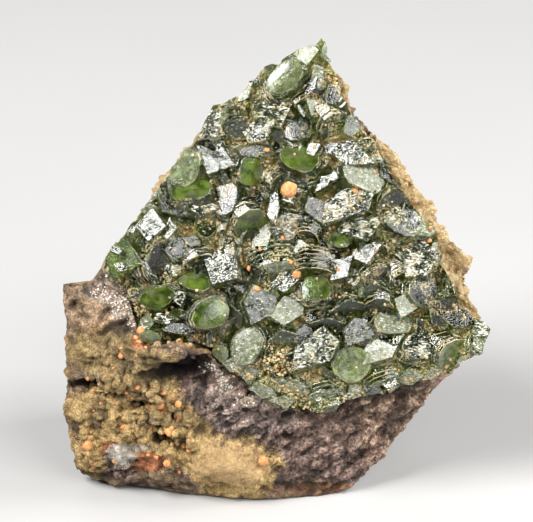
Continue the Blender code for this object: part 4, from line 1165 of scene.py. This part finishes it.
def rock_relief(points, normals, masks, places, front):
    """How far each point of the rock is pushed out along its normal."""
    relief = sum(height * rough(points, size, seed) for size, height, seed in ROCK_LUMPS)

    # knobs all over, and larger ones in the nodular zone
    relief += masks["nodular"] * (0.95 * knobs(points, 2.0, 5) + 0.45 * knobs(points, 0.95, 11) - 0.8)
    relief += 0.38 * (knobs(points, 0.95, 6) - 0.7) * (1.0 - 0.8 * masks["dusky"])

    # the dusky zone splits in slanting ridges and flat breaks
    along = np.array(((0.87, 0.0, -0.5), (0.0, 1.0, 0.0), (0.5, 0.0, 0.87))) * (0.35, 0.6, 1.1)
    facing = np.clip(-1.5 * normals @ np.array(FRONT_VIEW), 0.0, 1.0)
    split = masks["dusky"] * (0.35 + 0.65 * facing)
    relief += split * 0.60 * (0.35 - np.abs(rough(points @ along, 2.4, 9)))
    relief += split * 0.55 * facets(points @ along, 1.5, 23)
    relief += split * 0.28 * facets(points @ along, 0.75, 29)
    near, second = grain(points @ along, 2.2, 13)
    relief -= masks["dusky"] * 0.5 * np.exp(-(((second - near) / 0.10) ** 2))

    # the rim, the druse, the silvery patch and the large breaks behind
    relief += (masks["rim"] + masks["druse"]) * 0.26 * (knobs(points, 0.9, 7) - 0.6)
    relief += masks["rim"] * 0.20 * facets(points, 0.9, 37)
    relief += masks["silver"] * 0.45 * facets(points, 1.1, 39)
    behind = np.clip((points[:, 1] + 4.0) / 6.0, 0.0, 1.0)
    behind *= 1.0 - masks["rim"]
    relief += behind * (0.8 * facets(points, 5.0, 43) + 0.45 * facets(points, 2.0, 47) - 0.35)
    relief = relief * (1.0 - 0.75 * masks["smooth"]) + 0.3 * masks["smooth"]
    return relief - front * crack_depth(places, noise(points, 0.9, 8))


def shift_borders(moved, points, places):
    """Moves the rock's sides and its left shoulder to their borders on the front."""
    border = CRUST_SIDE[0] + (CRUST_SIDE[1] - places[:, 1]) * CRUST_SIDE[2]
    beyond = points[:, 0] - border
    shares = ((LEFT_START - points[:, 0]) / 5.0, beyond / 2.5, -beyond / 3.0)
    for table, share in zip((LEFT_SIDE, RIGHT_SIDE, TOP_SIDE), shares):
        rises, shifts = zip(*table)
        moved[:, 0] += np.interp(places[:, 1], rises, shifts) * np.clip(share, 0.0, 1.0)
    sides, rises = zip(*SHOULDER)
    excess = np.maximum(front_places(moved)[:, 1] - np.interp(moved[:, 0], sides, rises), 0.0)
    moved -= np.array(FRONT_RISE) * 0.9 * excess[:, None]


def fine_rock(node):
    """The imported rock's form as one fine, even mesh."""
    rock = bpy.data.objects.new("host_rock", node.data.copy())
    bpy.context.scene.collection.objects.link(rock)
    fuse = rock.modifiers.new("fuse", "REMESH")
    fuse.mode = "VOXEL"
    fuse.voxel_size = ROCK_VOXEL * MM
    soften = rock.modifiers.new("soften", "SMOOTH")
    soften.iterations = ROCK_SOFTENING
    soften.factor = 0.5
    apply_modifiers(rock)
    return rock


def thin_out(obj, spare):
    """Takes faces away, most of them where spare is 1."""
    group = obj.vertex_groups.new(name="spare")
    for vert, share in enumerate(spare):
        group.add((vert,), share, "REPLACE")
    thin = obj.modifiers.new("thin", "DECIMATE")
    thin.ratio = ROCK_KEPT
    thin.vertex_group = "spare"
    thin.vertex_group_factor = 1.0
    apply_modifiers(obj)
    obj.vertex_groups.clear()


def build_rock(node, finish):
    """The host rock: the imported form, roughened with its lumps, pits and cracks."""
    rock = fine_rock(node)
    mesh = rock.data
    points = points_of(mesh) / MM - np.array(ORIGIN_SHIFT)
    normals = normals_of(mesh)
    masks, places, front = rock_masks(points, normals)
    relief = rock_relief(points, normals, masks, places, front)
    level = np.clip((points[:, 2] - FLAT_FOOT) / FOOT_BORDER, 0.0, 1.0)
    moved = points + normals * (relief * level)[:, None]
    pits = front * level * pit_depth(places, noise(points, 1.3, 12))
    moved[:, 1] += pits
    shift_borders(moved, points, places)
    moved[:, 2] = np.maximum(moved[:, 2], 0.0)
    set_points(mesh, (moved + np.array(ORIGIN_SHIFT)) * MM)
    for name, mask in masks.items():
        add_values(mesh, name, mask)
    # painted shade: the relief value is lower in low places and in hollows, and darkens the colour there
    add_values(mesh, "relief", np.clip(0.5 + 0.6 * relief - 0.35 * np.maximum(pits, 0.0), 0.0, 1.0))
    # painted shadow: how deep each place lies in a hollow, which darkens its colour
    add_values(mesh, "deep", np.clip(pits / DARKEST_PIT, 0.0, 1.0))
    thin_out(rock, masks["spare"])
    cover(rock.data, finish)
    return rock


# Small grains and crystals that lie on the surfaces.

def ball():
    """The corners and faces of a round ball of 42 corners and unit radius."""
    shape = bmesh.new()
    bmesh.ops.create_icosphere(shape, subdivisions=2, radius=1.0)
    verts = np.array([vert.co for vert in shape.verts])
    faces = np.array([[vert.index for vert in face.verts] for face in shape.faces])
    shape.free()
    return verts, faces


def druse_crystals(name, surface, finish):
    """One mesh of pointed little crystals that stand on the rock's druse zone at all angles."""
    chance = random.Random(DRUSE_SEED)
    corners = [Vector(p) for p in ((1, 0, 0), (0, 1, 0), (-1, 0, 0), (0, -1, 0))]
    corners += [Vector((0, 0, DRUSE_TIP)), Vector((0, 0, -DRUSE_TIP))]
    sides = [(i, (i + 1) % 4, 4) for i in range(4)] + [((i + 1) % 4, i, 5) for i in range(4)]
    verts = []
    faces = []
    for _ in range(DRUSE_TRIES):
        side, rise = chance.uniform(*DRUSE_SIDES), chance.uniform(*DRUSE_RISES)
        size = chance.uniform(*DRUSE_SIZE)
        turn = Euler([chance.uniform(0.0, math.tau) for _ in range(3)]).to_matrix()
        keep = chance.random()
        share = zone(np.array([[side, rise]]), "druse", np.zeros(1))[0]
        hit = front_hit(surface, side, rise)
        if hit is None or keep > share:
            continue
        faces += [tuple(v + len(verts) for v in face) for face in sides]
        verts += [(hit + turn @ corner * size) * MM for corner in corners]
    return new_object(name, verts, faces, finish=finish)


def crumbs(name, spots, unevenness, finish):
    """One mesh of a lumpy ball at each spot: (centre, radius) in millimetres in the scene."""
    unit, faces = ball()
    verts = []
    for number, (centre, radius) in enumerate(spots):
        lumps = rough(unit * 1.3 + number * 7.7, 1.0, 51, 2)
        squash = 1.0 + GRAIN_SQUASH * (scatter(np.array([[number, 3, 5]]), 52)[0] - 0.5)
        verts.append(unit * (1.0 + unevenness * lumps)[:, None] * squash * radius + np.array(centre))
    count = len(unit)
    all_faces = [tuple(face + i * count) for i in range(len(spots)) for face in faces]
    made = new_object(name, np.concatenate(verts) * MM, all_faces, finish=finish)
    made.data.shade_smooth()
    return made


def nodules(name, surface, finish):
    """One mesh of round knobs that stand close together on the rock, with the rock's attributes."""
    chance = random.Random(NODULE_SEED)
    spots = []
    for kind, tries, (low, high), sides, rises in NODULES:
        for _ in range(tries):
            side, rise = chance.uniform(*sides), chance.uniform(*rises)
            radius = low + (high - low) * chance.random() ** 2
            keep = chance.random()
            at = np.array([[side, rise]])
            share, *bare = (zone(at, name, np.zeros(1))[0] for name in (kind, "silver", "rust"))
            hit = front_hit(surface, side, rise)
            if hit is not None and keep < share - sum(bare):
                spots.append((hit + Vector((0.0, NODULE_IN * radius, 0.0)), radius))
    made = crumbs(name, spots, NODULE_UNEVENNESS, finish)
    points = points_of(made.data) / MM - np.array(ORIGIN_SHIFT)
    masks, _, _ = rock_masks(points, np.tile((0.0, -1.0, 0.0), (len(points), 1)))
    for mask, values in masks.items():
        add_values(made.data, mask, values)
    # painted light and shade: the knobs are coloured lighter on their upward faces and darker underneath
    add_values(made.data, "relief", 0.55 + 0.2 * normals_of(made.data)[:, 2])
    return made


def surface_of(*objects):
    """A search tree of these objects' surfaces, in millimetres in the scene."""
    verts = []
    faces = []
    for obj in objects:
        start = len(verts)
        verts += [tuple(p) for p in points_of(obj.data) / MM]
        faces += [[v + start for v in face.vertices] for face in obj.data.polygons]
    return BVHTree.FromPolygons(verts, faces)


def front_hit(surface, side, rise):
    """Where a place on the front meets the surfaces, or None where it meets none."""
    view = Vector(FRONT_VIEW)
    anchor = Vector((0.0, SEAT_FOOT.y, 0.0))
    place = Vector((side, 0.0, 0.0)) + anchor + Vector(FRONT_RISE) * rise + ORIGIN_SHIFT
    return surface.ray_cast(place - view * FRONT_PROBE, view)[0]


def crevice_spots(surface, frame):
    """Places low between the crystals, where ochre dust and grains gather."""
    chance = random.Random(CRUMB_SEED)
    turn = Matrix.Scale(1 / MM, 4) @ frame
    out = turn.to_3x3() @ Vector((0, 0, 1))
    back = turn.inverted()
    for _ in range(CRUMB_TRIES):
        across = chance.uniform(*CRUMB_ACROSS)
        up = chance.uniform(*CRUMB_UP)
        radius = chance.uniform(*CRUMB_RADIUS)
        luck = chance.random()
        if not inside((across, up), CRUST_OUTLINE):
            continue
        hit = surface.ray_cast(turn @ Vector((across, up, SEAT_PROBE)), -out)[0]
        if hit is None:
            continue
        height = (back @ hit).z
        patch = max(0.0, 1.0 - math.dist((across, up), CRUMB_PATCH[:2]) / CRUMB_PATCH[2])
        if height < CRUMB_HEIGHT + PATCH_HEIGHT * patch or luck < CRUMB_LUCK + PATCH_LUCK * patch:
            yield hit + out * radius * CRUMB_OUT, radius


# The stage.

def aim(obj, target):
    obj.rotation_euler = (Vector(target) - obj.location).to_track_quat("-Z", "Y").to_euler()


def add_camera():
    made = bpy.data.objects.new("camera", bpy.data.cameras.new("camera"))
    back = Vector((0.0, -math.cos(CAMERA_ELEVATION), math.sin(CAMERA_ELEVATION)))
    made.location = CAMERA_TARGET * MM + back * CAMERA_DISTANCE
    aim(made, CAMERA_TARGET * MM)
    made.data.lens = CAMERA_LENS
    made.data.clip_start = MM
    bpy.context.scene.collection.objects.link(made)
    bpy.context.scene.camera = made


def add_lights():
    for name, direction, distance, sides, power in LIGHTS:
        data = bpy.data.lights.new(name, "AREA")
        data.shape = "RECTANGLE"
        data.size, data.size_y = sides
        data.energy = power
        made = bpy.data.objects.new(name, data)
        made.location = LIGHT_TARGET + Vector(direction).normalized() * distance
        aim(made, LIGHT_TARGET)
        bpy.context.scene.collection.objects.link(made)
    world = bpy.data.worlds.new("studio")
    world.use_nodes = True
    background = world.node_tree.nodes["Background"]
    background.inputs["Color"].default_value = WORLD_COLOUR
    background.inputs["Strength"].default_value = WORLD_STRENGTH
    bpy.context.scene.world = world
    bpy.context.scene.view_settings.view_transform = "Standard"


def add_floor():
    corners = [(x * FLOOR_HALF, y * FLOOR_HALF, 0.0) for x, y in ((-1, -1), (1, -1), (1, 1), (-1, 1))]
    n = Nodes("floor")
    n.put("Base Color", n.mix(n.noise(60.0, 2.0), *FLOOR_COLOURS))
    n.put("Roughness", FLOOR_ROUGHNESS)
    floor = new_object("floor", corners, [(0, 1, 2, 3)], finish=n.material)


def main():
    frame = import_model()
    add_camera()
    add_lights()
    add_floor()
    stone = rock_material()
    rock = build_rock(frame["nodes"]["matrix"], stone)
    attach(rock, "root")
    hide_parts("matrix")
    seat = face_frame()
    crust = build_crystals(seat, crystal_material())
    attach(crust, "root")
    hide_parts("ludlamite_crust")
    spots = list(crevice_spots(surface_of(crust), seat))
    dust = crumbs("ochre_grains", spots, CRUMB_UNEVENNESS, ochre_material())
    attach(dust, "root")
    rock_surface = surface_of(rock)
    druse = druse_crystals("druse", rock_surface, druse_material())
    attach(druse, "root")
    lumps = nodules("nodules", rock_surface, stone)
    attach(lumps, "root")
    surface = surface_of(rock, crust)
    specks = [(front_hit(surface, side, rise), radius) for side, rise, radius in SPECKS]
    specks = [(place, radius) for place, radius in specks if place is not None]
    orange = orange_material()
    bits = crumbs("orange_specks", specks, SPECK_UNEVENNESS, orange)
    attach(bits, "root")
    for number in range(1, GRAIN_COUNT + 1):
        low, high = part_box(f"orange_grain_{number}")
        middle = (Vector(low) + Vector(high)) / (2 * MM)
        radius = (Vector(high) - Vector(low)).z / (2 * MM)
        grain_piece = crumbs(f"orange_ball_{number}", [(middle, radius)], GRAIN_UNEVENNESS, orange)
        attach(grain_piece, "root")
        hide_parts(f"orange_grain_{number}")


main()
